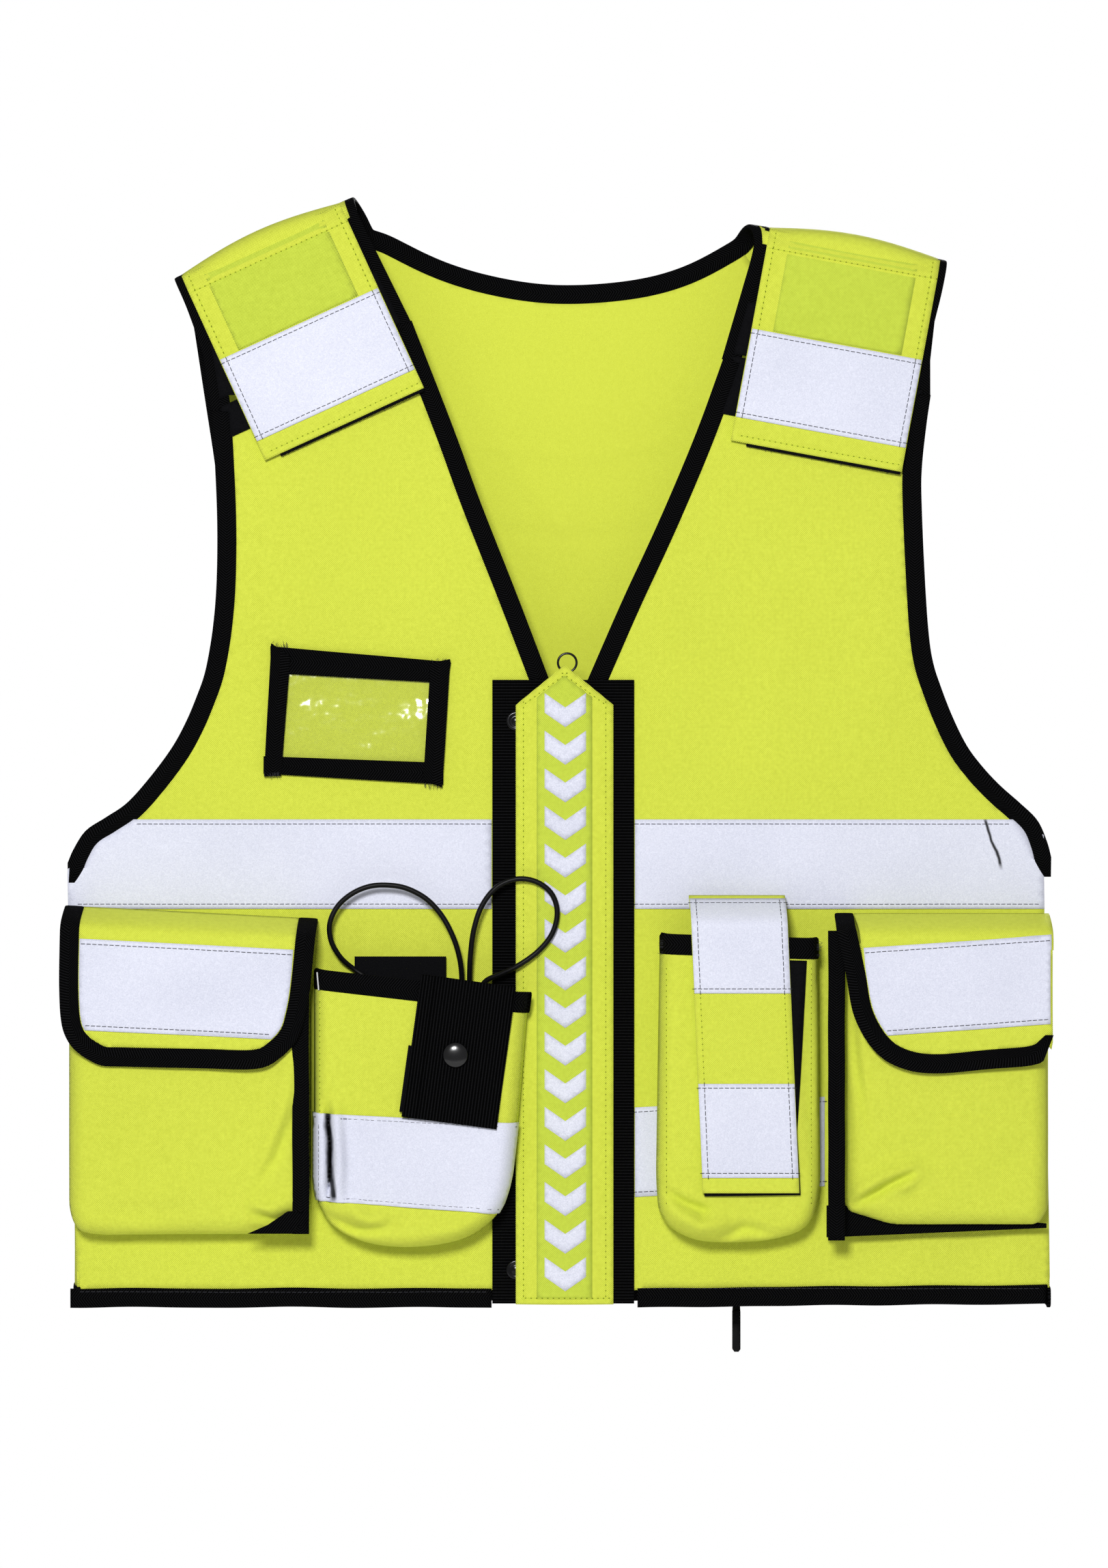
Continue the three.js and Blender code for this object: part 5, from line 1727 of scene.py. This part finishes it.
# %% Tabs, their tape and their hooks
tabs, tab_tapes, tab_hooks, tab_faces = {}, {}, {}, {}
for side, fold in folds.items():
    low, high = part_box("shoulder_tab_" + side)
    outline = fold.inward(flat_outlines("shoulder_tab_" + side)[0])
    u0, v0 = outline.min(0)
    u1, v1 = outline.max(0)
    tab_y = (low.y + high.y) / 2

    def lie(a, s, fold=fold, y=tab_y, seed=121 + len(side), u0=u0, u1=u1, v1=v1):
        v = -s
        top = 5.5 * mm * (1 - ease(v, 0, 13 * mm))
        held = ease(v, 10 * mm, 50 * mm)
        soft = 0.5 * mm * (1 + ripple(a, s, 70 * mm, seed)) * held
        loose = 1.6 * mm * ease(v, v1 - 30 * mm, v1) * np.clip((a - u0) / (u1 - u0), 0, 1) ** 2
        return fold.place(a, v, y + top - soft - loose)

    tab_faces[side] = (lie, u0, u1, v0, v1)
    pattern = straight_outline([(u0, -v1), (u1, -v1), (u1, -v0), (u0, -v0)], 3 * mm)
    tabs[side] = cloth(
        "shoulder_tab_" + side + "_cloth", pattern, lie, -0.7 * mm, 0.7 * mm, yellow_cloth, 3 * mm)
    band_line = fold.inward(flat_outlines("shoulder_tape_" + side)[0])
    b0, b1 = band_line[:, 1].min(), band_line[:, 1].max()
    tape_line = straight_outline(
        [(u0 + 0.4 * mm, -b1), (u1 - 0.4 * mm, -b1), (u1 - 0.4 * mm, -b0), (u0 + 0.4 * mm, -b0)], 3 * mm)
    tab_tapes[side] = cloth(
        "shoulder_tape_" + side + "_sheet", tape_line, lie, 0.72 * mm, 1.4 * mm, silver_tape, 3 * mm)
    hook_line = straight_outline([(u0 + 9 * mm, -v1 - 1.6 * mm), (u1 - 0.6 * mm, -v1 - 1.6 * mm),
                                  (u1 - 1 * mm, -v1 + 45 * mm), (u0 + 9 * mm, -v1 + 45 * mm)], 3 * mm)
    tab_hooks[side] = cloth(
        "shoulder_hooks_" + side, hook_line, lie, -1.5 * mm, -0.72 * mm, hook_and_loop, 3 * mm)
    shade_line = straight_outline([(u0 + 12 * mm, -b0 + 0.5 * mm), (u1 - 12 * mm, -b0 + 0.5 * mm),
                                   (u1 - 12 * mm, -v0 - 1 * mm), (u0 + 12 * mm, -v0 - 1 * mm)], 4 * mm)
    tabs[side + "_middle"] = cloth(
        "shoulder_tab_" + side + "_middle", shade_line, lie, 0.6 * mm, 0.73 * mm, yellow_backed, 4 * mm)
print("two shoulder tabs")

# %% [markdown]
# ## Small hard parts
# Press studs, the zip's slider and ring, and the rear zip's slider and puller are moulded or
# pressed. Their solids have the right shape already, so they are copied and their edges are
# rounded, which gives each edge a line of light.


# %% Rounded copies and turned caps
def rounded_copy(node, radius, material):
    bm = bmesh.new()
    bm.from_mesh(cad_nodes[node].data)
    bmesh.ops.remove_doubles(bm, verts=bm.verts, dist=0.01 * mm)
    bmesh.ops.dissolve_limit(bm, angle_limit=math.radians(1), verts=bm.verts, edges=bm.edges)
    mesh = bpy.data.meshes.new(node + "_part")
    bm.to_mesh(mesh)
    bm.free()
    mesh.materials.append(material)
    piece = bpy.data.objects.new(node + "_part", mesh)
    scene.collection.objects.link(piece)
    edge = piece.modifiers.new("edge", "BEVEL")
    edge.width, edge.segments, edge.limit_method = radius, 2, "ANGLE"
    edge.angle_limit = math.radians(35)
    mesh.polygons.foreach_set("use_smooth", [True] * len(mesh.polygons))
    made_pieces.append(piece)
    return piece


def turned(name, profile, centre, material, count=32):
    """A round part on an axis along Y, from a profile of (radius, y)."""
    turn = 2 * math.pi * np.arange(count) / count
    rings = np.array([
        np.stack([centre[0] + r * np.cos(turn), np.full(count, y), centre[1] + r * np.sin(turn)], 1)
        for r, y in profile
    ])
    piece = tube(name, rings, np.arange(len(profile)) * mm, turn * mm, material)
    return piece


slider = rounded_copy("zip_slider", 0.2 * mm, dark_metal)
rear_slider = rounded_copy("rear_zip_slider", 0.25 * mm, dark_metal)
rear_puller = rounded_copy("rear_zip_puller", 0.35 * mm, black_rubber)
low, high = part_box("zip_pull_ring")
ring_centre = np.array([(low.x + high.x) / 2, (low.y + high.y) / 2, (low.z + high.z) / 2])
wire = (high.y - low.y) / 2
ring_radius = (high.x - low.x) / 2 - wire
bpy.ops.mesh.primitive_torus_add(
    major_radius=ring_radius, minor_radius=wire, major_segments=56, minor_segments=14,
    location=tuple(ring_centre), rotation=(math.radians(90), 0, 0))
ring = bpy.context.object
ring.name = "zip_pull_ring_wire"
bpy.ops.object.transform_apply(location=True, rotation=True, scale=True)
ring.data.materials.append(dark_metal)
ring.data.polygons.foreach_set("use_smooth", [True] * len(ring.data.polygons))
made_pieces.append(ring)

low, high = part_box("radio_strap_stud")
stud_x, stud_z = (low.x + high.x) / 2, (low.z + high.z) / 2
stud_r, stud_back = (high.x - low.x) / 2, high.y
strap_stud = turned(
    "radio_strap_stud_cap",
    [
        (0.1 * mm, stud_back), (stud_r * 0.93, stud_back), (stud_r, stud_back - 0.3 * mm),
        (stud_r * 0.99, stud_back - 0.7 * mm), (stud_r * 0.93, stud_back - 1.1 * mm),
        (stud_r * 0.8, stud_back - 1.55 * mm), (stud_r * 0.6, stud_back - 1.95 * mm),
        (stud_r * 0.35, stud_back - 2.2 * mm), (stud_r * 0.12, stud_back - 2.3 * mm),
        (0.05 * mm, stud_back - 2.31 * mm)],
    (stud_x, stud_z), black_enamel, 48)
strip_studs = []
for where in ("upper", "lower"):
    low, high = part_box("strip_stud_" + where)
    x, z, r = (low.x + high.x) / 2, (low.z + high.z) / 2, (high.x - low.x) / 2
    y = high.y
    strip_studs.append(
        turned(
            f"strip_stud_{where}_ring",
            [
                (0.1 * mm, y), (r * 0.95, y), (r, y - 0.3 * mm), (r * 0.95, y - 0.75 * mm),
                (r * 0.8, y - 0.95 * mm), (r * 0.66, y - 0.8 * mm), (r * 0.55, y - 0.55 * mm),
                (r * 0.4, y - 0.75 * mm), (r * 0.3, y - 1.15 * mm), (0.05 * mm, y - 1.2 * mm)],
            (x, z), dark_metal))
print("hard parts are rounded")

# %% Rear zip
low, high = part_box("rear_zip_tape")
tape_mid = (low.z + high.z) / 2
x = np.linspace(low.x, high.x, 110)
rear_bands = [
    band(f"rear_zip_web_{k}", np.stack([x, x * 0 + a], 1), np.stack([x, x * 0 + b], 1), back,
         half_cloth + 0.02 * mm, half_cloth + 1.0 * mm, black_webbing, -1)
    for k, (a, b) in enumerate(((low.z, tape_mid - 0.5 * mm), (tape_mid + 0.5 * mm, high.z)))
]
rear_tape = one_piece("rear_zip_tape_web", rear_bands)
rear_line = lifted(back, x, x * 0 + tape_mid, x * 0 + half_cloth + 0.9 * mm, -1)
rear_teeth = row_of(
    "rear_zip_teeth", [rear_line], teeth, tooth_sockets, black_enamel, 1.7 * mm, 1.1 * mm, 1.6 * mm, 3.2 * mm)
print("the rear zip is closed")

# %% [markdown]
# ## Stitches
# Tape is sewn on with dark thread, a few millimetres inside its edges. Hems are sewn with
# yellow thread: what shows there is the row of needle holes. Both are rods along a line, set
# by the same tree as the teeth.

# %% Lines of stitches
stitch_pitch, stitch_long, thread_thick = 3.1 * mm, 2.3 * mm, 0.2 * mm
seams = {}


def seam(body, kind, surface, start, end, height, way=1, bend=None):
    """Keeps a line of stitches from start to end in a surface's pattern."""
    line = np.array([start, *(bend or []), end], float)
    line = evenly(line, max(2, round(length_of(line) / (4 * mm))))
    places = lifted(surface, line[:, 0], line[:, 1], height, way)
    seams.setdefault((body, kind), []).append(places)


def inner_line(outline, top, inset, span):
    """A line across an outline, inset from its top or its foot, between two x values."""
    z = []
    for x in span:
        cuts = []
        for p, q in zip(outline, np.roll(outline, -1, 0)):
            if (p[0] - x) * (q[0] - x) < 0:
                cuts.append(p[1] + (q[1] - p[1]) * (x - p[0]) / (q[0] - p[0]))
        z.append(max(cuts) - inset if top else min(cuts) + inset)
    return (span[0], z[0]), (span[1], z[1])


tape_up = tape_high + 0.03 * mm
for side, span in (("right", (-271 * mm, -42 * mm)), ("left", (40 * mm, 264 * mm))):
    outline = flat_outlines("chest_band_" + side)[0]
    foot = inner_line(outline, False, 2.6 * mm, span)
    seam("front_" + side, "dark", front, *foot, tape_up)
    wide = [outline[:, 0].min(), outline[:, 0].max()]
    top_z = outline[:, 1].max() - 2.6 * mm
    on_top = outline[outline[:, 1] > top_z]
    reach_x = (on_top[:, 0].min() + 1 * mm, on_top[:, 0].max() - 1 * mm)
    seam("front_" + side, "dark", front, (reach_x[0], top_z), (reach_x[1], top_z), tape_up)
low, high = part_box("back_chest_band")
for z in (low.z + 2.6 * mm, high.z - 2.6 * mm):
    seam("back", "dark", back, (low.x + 1 * mm, z), (high.x - 1 * mm, z), tape_up, -1)
for z0, z1 in ((-52.4, -46.4), (-7.6, -1.6)):
    seam(
        "front_left", "dark", front, (waist_left, waist_top + z0 * mm), (waist_right, waist_top + z1 * mm),
        tape_up)

for side in folds:
    lie, u0, u1, v0, v1 = tab_faces[side]
    band_line = folds[side].inward(flat_outlines("shoulder_tape_" + side)[0])
    b0, b1 = band_line[:, 1].min(), band_line[:, 1].max()
    body = "tab_" + side
    for v in (b0 + 2.5 * mm, b1 - 2.5 * mm):
        seam(body, "dark", lie, (u0 + 1 * mm, -v), (u1 - 1 * mm, -v), 1.42 * mm)
    for u in (u0 + 3.8 * mm, u1 - 3.8 * mm):
        seam(body, "dark", lie, (u, -b0 - 1 * mm), (u, -b1 + 1 * mm), 1.42 * mm)
        seam(body, "yellow", lie, (u, -v0 - 1 * mm), (u, -b0 + 1 * mm), 0.8 * mm)
    seam(body, "yellow", lie, (u0 + 2 * mm, -12.5 * mm), (u1 - 2 * mm, -12.5 * mm), 0.8 * mm)
    seam(body, "yellow", lie, (u0 + 4 * mm, -v1 + 3.6 * mm), (u1 - 4 * mm, -v1 + 3.6 * mm), 0.74 * mm)

for side in ("right", "left"):
    hang = hangs[side]
    tape = np.array([tuple(v.co) for v in cargo_flap_tapes[side].data.vertices])
    flat = hang.to_pattern(tape[:, [0, 2]])
    top, foot, top_rise, foot_rise = flap_facts[side]
    s_top, s_foot = (-np.interp(t, hang.v, hang.gone) for t in (top + 2.8 * mm, foot - 2.6 * mm))
    left_u, right_u = flat[:, 0].min() + 2 * mm, flat[:, 0].max() - 2 * mm
    seam("flap_" + side, "dark", hang.surface, (left_u, s_top + top_rise * left_u),
         (right_u, s_top + top_rise * right_u), flap_half + 0.74 * mm)
    low_left = left_u + (5 if side == "right" else 12) * mm
    low_right = right_u - (10 if side == "right" else 1) * mm
    seam("flap_" + side, "dark", hang.surface, (low_left, s_foot + foot_rise * low_left),
         (low_right, s_foot + foot_rise * low_right), flap_half + 0.74 * mm)

# How far a stitch lies above the middle of each cloth that it holds.
on_strap, on_strap_tape, on_pouch, on_pouch_tape = 0.75 * mm, 1.44 * mm, 0.06 * mm, 0.85 * mm
for v0, v1 in torch_tape_spans:
    left, right = torch_left + 0.3 * mm, torch_left + strap_wide - 0.3 * mm
    s0, s1 = (-np.interp(v * mm, torch_hang.v, torch_hang.gone) for v in (v0 + 2.3, v1 - 2.5))
    for s in (s0, s1):
        seam("torch_tongue", "dark", torch_hang.surface, (left, s), (right, s), on_strap_tape)
    for u in (left + 3.2 * mm, right - 3.2 * mm):
        seam("torch_tongue", "dark", torch_hang.surface, (u, s0 + 2 * mm), (u, s1 - 2 * mm), on_strap_tape)
for u in (torch_left + 3.5 * mm, torch_left + strap_wide - 3.5 * mm):
    s0, s1 = (-np.interp(v * mm, torch_hang.v, torch_hang.gone) for v in (55.5, 103.5))
    seam("torch_tongue", "yellow", torch_hang.surface, (u, s0), (u, s1), on_strap)

strip_low, strip_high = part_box("title_strip")
shoulder_z = strip_high.z - 22.3 * mm
for way in (-1, 1):
    u = way * (strip_half - 4.3 * mm)
    seam("front_right", "yellow", strip_face, (u, strip_low.z + 3 * mm), (u, shoulder_z), on_strap)
    seam("front_right", "yellow", strip_face, (u, shoulder_z), (0, strip_high.z - 5.6 * mm), on_strap)
seam("front_right", "yellow", strip_face, (-strip_half + 4 * mm, strip_low.z + 3.5 * mm),
     (strip_half - 4 * mm, strip_low.z + 3.5 * mm), on_strap)

left_x, right_x = radio.low.x + 1.5 * mm, radio.high.x - 6 * mm
for inset_top, inset_foot in ((2.6, None), (None, 2.6)):
    far_x = right_x - 2 * mm if inset_top else -38 * mm
    line = inner_line(
        ring_tape, inset_top is not None, (inset_top or inset_foot) * mm, (left_x + 1 * mm, far_x))
    seam("front_right", "dark", radio.surface, *line, on_pouch_tape)
seam(
    "front_right", "dark", radio.surface, (left_x + 2.6 * mm, radio_top - 5 * mm),
    (left_x + 2.6 * mm, radio_foot + 5 * mm), on_pouch_tape)
seam(
    "front_right", "yellow", radio.surface, (left_x + 2.6 * mm, radio.high.z - 16 * mm),
    (left_x + 2.6 * mm, radio_top + 2 * mm), on_pouch)
for u in (torch_low.x + 6 * mm, torch_high.x - 6 * mm):
    seam(
        "front_left", "yellow", torch.surface, (u, torch_high.z - 17 * mm), (u, torch_low.z + 25 * mm),
        on_pouch)
for side, outline_x in (("right", (-270, -45)), ("left", (44, 264))):
    low_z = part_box("hem_binding_" + side)[1].z
    seam(
        "front_" + side, "dark", front, (outline_x[0] * mm, low_z - 2 * mm),
        (outline_x[1] * mm, low_z - 2 * mm), binding_half + 0.02 * mm)

stitches = []
for (body, kind), lines in sorted(seams.items()):
    if kind == "dark":
        piece = row_of(f"stitches_dark_{body}", lines, rods, rod_sockets, dark_thread, stitch_pitch,
                       stitch_long, thread_thick, 0.0, 0.05, 3)
    else:
        piece = row_of(f"stitches_yellow_{body}", lines, rods, rod_sockets, yellow_thread, stitch_pitch,
                       stitch_long, thread_thick, 0.0, 0.04, 5)
        holes = [
            line + (line[1] - line[0]) / np.linalg.norm(line[1] - line[0]) * stitch_pitch / 2
            for line in lines]
        stitches.append((row_of(f"needle_holes_{body}", holes, rods, rod_sockets, needle_hole, stitch_pitch,
                                0.75 * mm, 0.27 * mm, 0.0, 0.0, 7), body))
    stitches.append((piece, body))
print(len(stitches), "rows of stitches and holes")

# %% Frayed ends, as loose fibres
fray_draw = np.random.default_rng(9)


def frayed(name, body, ends, material=dark_thread, count=16, long=2.6 * mm):
    """Loose fibres at cut ends, given as (left corner, right corner, direction, y)."""
    lines = []
    for p, q, way, y in ends:
        p, q, way = (np.array(v, float) for v in (p, q, way))
        for _ in range(count):
            t, bend = fray_draw.uniform(0, 1), fray_draw.normal(0, 0.5, 2)
            start = p + (q - p) * t - way * 0.8 * mm
            far = long * fray_draw.uniform(0.4, 1.3)
            mid = start + way * far * 0.6
            tip = start + way * far + bend * far * 0.4
            lines.append(
                np.array(
                    [
                        [start[0], y, start[1]], [mid[0], y - 0.2 * mm, mid[1]],
                        [tip[0], y - 0.1 * mm, tip[1]]]))
    piece = row_of(name, lines, rods, rod_sockets, material, 0.45 * mm, 0.5 * mm, 0.09 * mm, 0.0, 0.25, 2)
    return piece, body


badge_y = front_middle - film_low - 2 * mm
badge_ends = []
for right, up in ((-1, 1), (-1, -1), (1, 1), (1, -1)):
    c = corner_at(outer, right, up)
    badge_ends.append(((c[0], c[1]), (c[0] - right * 10 * mm, c[1]), (0, up), badge_y))
frays = [
    frayed("badge_fray", "front_right", badge_ends),
    frayed(
        "torch_fray", "front_left",
        [
            (
                (torch_low.x + 3 * mm, torch_high.z - 2 * mm), (torch_low.x + 3 * mm, torch_high.z - 11 * mm),
                (-1, 0), torch_low.y),
            (
                (torch_high.x - 2 * mm, torch_high.z - 3 * mm),
                (torch_high.x - 2 * mm, torch_high.z - 13 * mm), (1, 0), torch_low.y)],
        count=12, long=2 * mm),
    frayed(
        "radio_fray", "radio_tongue",
        [
            (
                (-92 * mm, -507 * mm), (-40 * mm, -513.8 * mm), (-0.13, -0.99),
                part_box("radio_strap")[0].y + 0.6 * mm)],
        count=30, long=1.6 * mm)]
tack_line = lifted(
    radio.surface, np.linspace(-136.4, -135.6, 9) * mm, np.linspace(-428.5, -437.5, 9) * mm, 1.0 * mm)
frays.append((row_of("bar_tack_pale", [tack_line], rods, rod_sockets, pale_thread, 0.7 * mm, 0.8 * mm,
                     0.42 * mm, 0.0, 0.02, 4), "front_right"))
side_tab = cloth(
    "cargo_side_tab",
    straight_outline(
        [
            (-282 * mm, -434 * mm), (-275 * mm, -434.5 * mm), (-275 * mm, -423 * mm),
            (-281.6 * mm, -423.4 * mm)],
        1.5 * mm),
    flat_at(-24 * mm), -0.7 * mm, 0.7 * mm, black_webbing, 1.5 * mm)
for side, fold in folds.items():
    lie, u0, u1, v0, v1 = tab_faces[side]
    p, q = lie(np.array([u0 + 9 * mm, u1 - 1 * mm]), np.array([-v1 - 1.4 * mm] * 2))
    frays.append(frayed("tab_fray_" + side, "tab_" + side,
                        [((p[0], p[2]), (q[0], q[2]), fold.down, p[1] + 1 * mm)], count=60, long=1.1 * mm))
print("cut ends are frayed")

# %% [markdown]
# ## What moves with what
# Each piece rides on the body that carries it and stands for a solid of the frame. The side
# gussets join the back to a front; they ride on no body.

# %% Bodies, and what each piece stands for
def wear(piece, body, slot, *replaced):
    if not piece.data.materials:
        raise ValueError(piece.name + " has no finish")
    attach(piece, body)
    if replaced:
        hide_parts(*replaced)


for side in ("right", "left"):
    front_body = "front_" + side
    wear(front_panels[side], front_body, "yellow_cloth", "front_panel_" + side)
    for part in ("v_binding_", "armhole_binding_", "hem_binding_"):
        wear(bindings[part + side], front_body, "black_webbing", part + side)
    wear(facings[side], front_body, "black_webbing", "zip_facing_" + side)
    wear(zip_tapes[side], front_body, "black_webbing", "zip_tape_" + side)
    wear(zip_teeth[side], front_body, "black_webbing")
    wear(chest_tapes[side], front_body, "silver_tape", "chest_band_" + side)
    wear(patches[side], front_body, "hook_and_loop", "loop_patch_" + side)
    wear(pocket_pieces["cargo_" + side], front_body, "yellow_cloth", "cargo_pocket_" + side)
    wear(cargo_edges[side], front_body, "black_webbing", "cargo_binding_" + side)
    wear(cargo_edges[side + "_foot"], front_body, "black_webbing")
    wear(cargo_flaps[side], "flap_" + side, "yellow_cloth", "cargo_flap_" + side)
    wear(cargo_flap_edges[side], "flap_" + side, "black_webbing", "cargo_flap_binding_" + side)
    wear(cargo_flap_tapes[side], "flap_" + side, "silver_tape")
    wear(tabs[side], "tab_" + side, "yellow_cloth", "shoulder_tab_" + side)
    wear(tabs[side + "_middle"], "tab_" + side, "yellow_cloth")
    wear(tab_tapes[side], "tab_" + side, "silver_tape", "shoulder_tape_" + side)
    wear(tab_hooks[side], "tab_" + side, "hook_and_loop")
    wear(yokes[side], "back", "yellow_cloth", "shoulder_yoke_" + side)
    wear(yokes[side + "_loops"], "back", "hook_and_loop")
    wear(bindings["arm_binding_back_" + side], "back", "black_webbing", "arm_binding_back_" + side)
    wear(loops[side], "front_right", "elastic", "elastic_loop_" + side)
    x = joints[f"front_{side}_open"]["pos_m"][0]
    for gusset, slot in ((gussets[side], "yellow_cloth"), (gussets[side + "_hem"], "black_webbing")):
        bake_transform(gusset)
    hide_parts("side_gusset_" + side)
wear(waist_tape, "front_left", "silver_tape")
wear(side_tab, "front_right", "black_webbing")
wear(pocket_pieces["radio"], "front_right", "yellow_cloth", "radio_pouch")
wear(pocket_pieces["torch"], "front_left", "yellow_cloth", "torch_pouch")
wear(mouths["radio"], "front_right", "black_webbing", "radio_pouch_binding")
wear(mouths["torch"], "front_left", "black_webbing", "torch_pouch_binding")
wear(radio_tape, "front_right", "silver_tape")
wear(hook_tab, "front_right", "hook_and_loop", "radio_hook_tab")
wear(grip_strip, "front_left", "hook_and_loop")
wear(torch_strap, "torch_tongue", "yellow_cloth", "torch_strap")
for tape in torch_tapes:
    wear(tape, "torch_tongue", "silver_tape")
wear(torch_hooks, "torch_tongue", "hook_and_loop")
wear(radio_strap, "radio_tongue", "black_webbing", "radio_strap")
wear(radio_under, "radio_tongue", "hook_and_loop")
wear(radio_hem, "radio_tongue", "black_webbing")
wear(strap_stud, "radio_tongue", "dark_metal", "radio_strap_stud")
wear(strip, "front_right", "yellow_cloth", "title_strip")
wear(strip_middle, "front_right", "yellow_cloth")
wear(chevron_print, "front_right", "silver_tape")
for where, stud in zip(("upper", "lower"), strip_studs):
    wear(stud, "front_right", "dark_metal", "strip_stud_" + where)
wear(badge_frame, "front_right", "black_webbing", "badge_frame")
wear(badge_film, "front_right", "clear_film", "badge_film")
wear(back_panel, "back", "yellow_cloth", "back_panel")
wear(bindings["neck_binding"], "back", "black_webbing", "neck_binding")
wear(bindings["back_hem_binding"], "back", "black_webbing", "back_hem_binding")
wear(back_tape, "back", "silver_tape", "back_chest_band")
wear(rear_tape, "back", "black_webbing", "rear_zip_tape")
wear(rear_teeth, "back", "black_webbing")
wear(rear_slider, "back", "dark_metal", "rear_zip_slider")
wear(rear_puller, "rear_puller", "black_rubber", "rear_zip_puller")
wear(slider, "slider", "dark_metal", "zip_slider")
wear(ring, "pull", "dark_metal", "zip_pull_ring")
for piece, body in stitches + frays:
    wear(piece, body, "black_webbing" if "dark" in piece.name or "fray" in piece.name else "yellow_cloth")
print(len(made_pieces), "pieces are worn")

# %% [markdown]
# ## Sheets and cords
# The size a sheet was cut to is the width and height of its flat outline, which are printed
# for each sheet.

# %% What is a sheet, and what is a cord
sheets = [(back_panel, ()), (strip, ()), (torch_strap, ()), (radio_strap, ())]
for side in ("right", "left"):
    sheets += [(front_panels[side], ()), (yokes[side], ()), (gussets[side], ()), (cargo_flaps[side], ()),
               (tabs[side], ("loop_patch_" + side,))]
for piece, under in sheets:
    flat = cuts[piece.name]
    there = np.roll(flat, -1, 0)
    wide, tall = (float(v) for v in np.ptp(flat, axis=0))
    list(under)
    print(piece.name, "is cut from", round(wide, 3), "by", round(tall, 3), "m")
for side, points in loop_points.items():
    exit_at = tuple(np.array(points[0]) * mm)
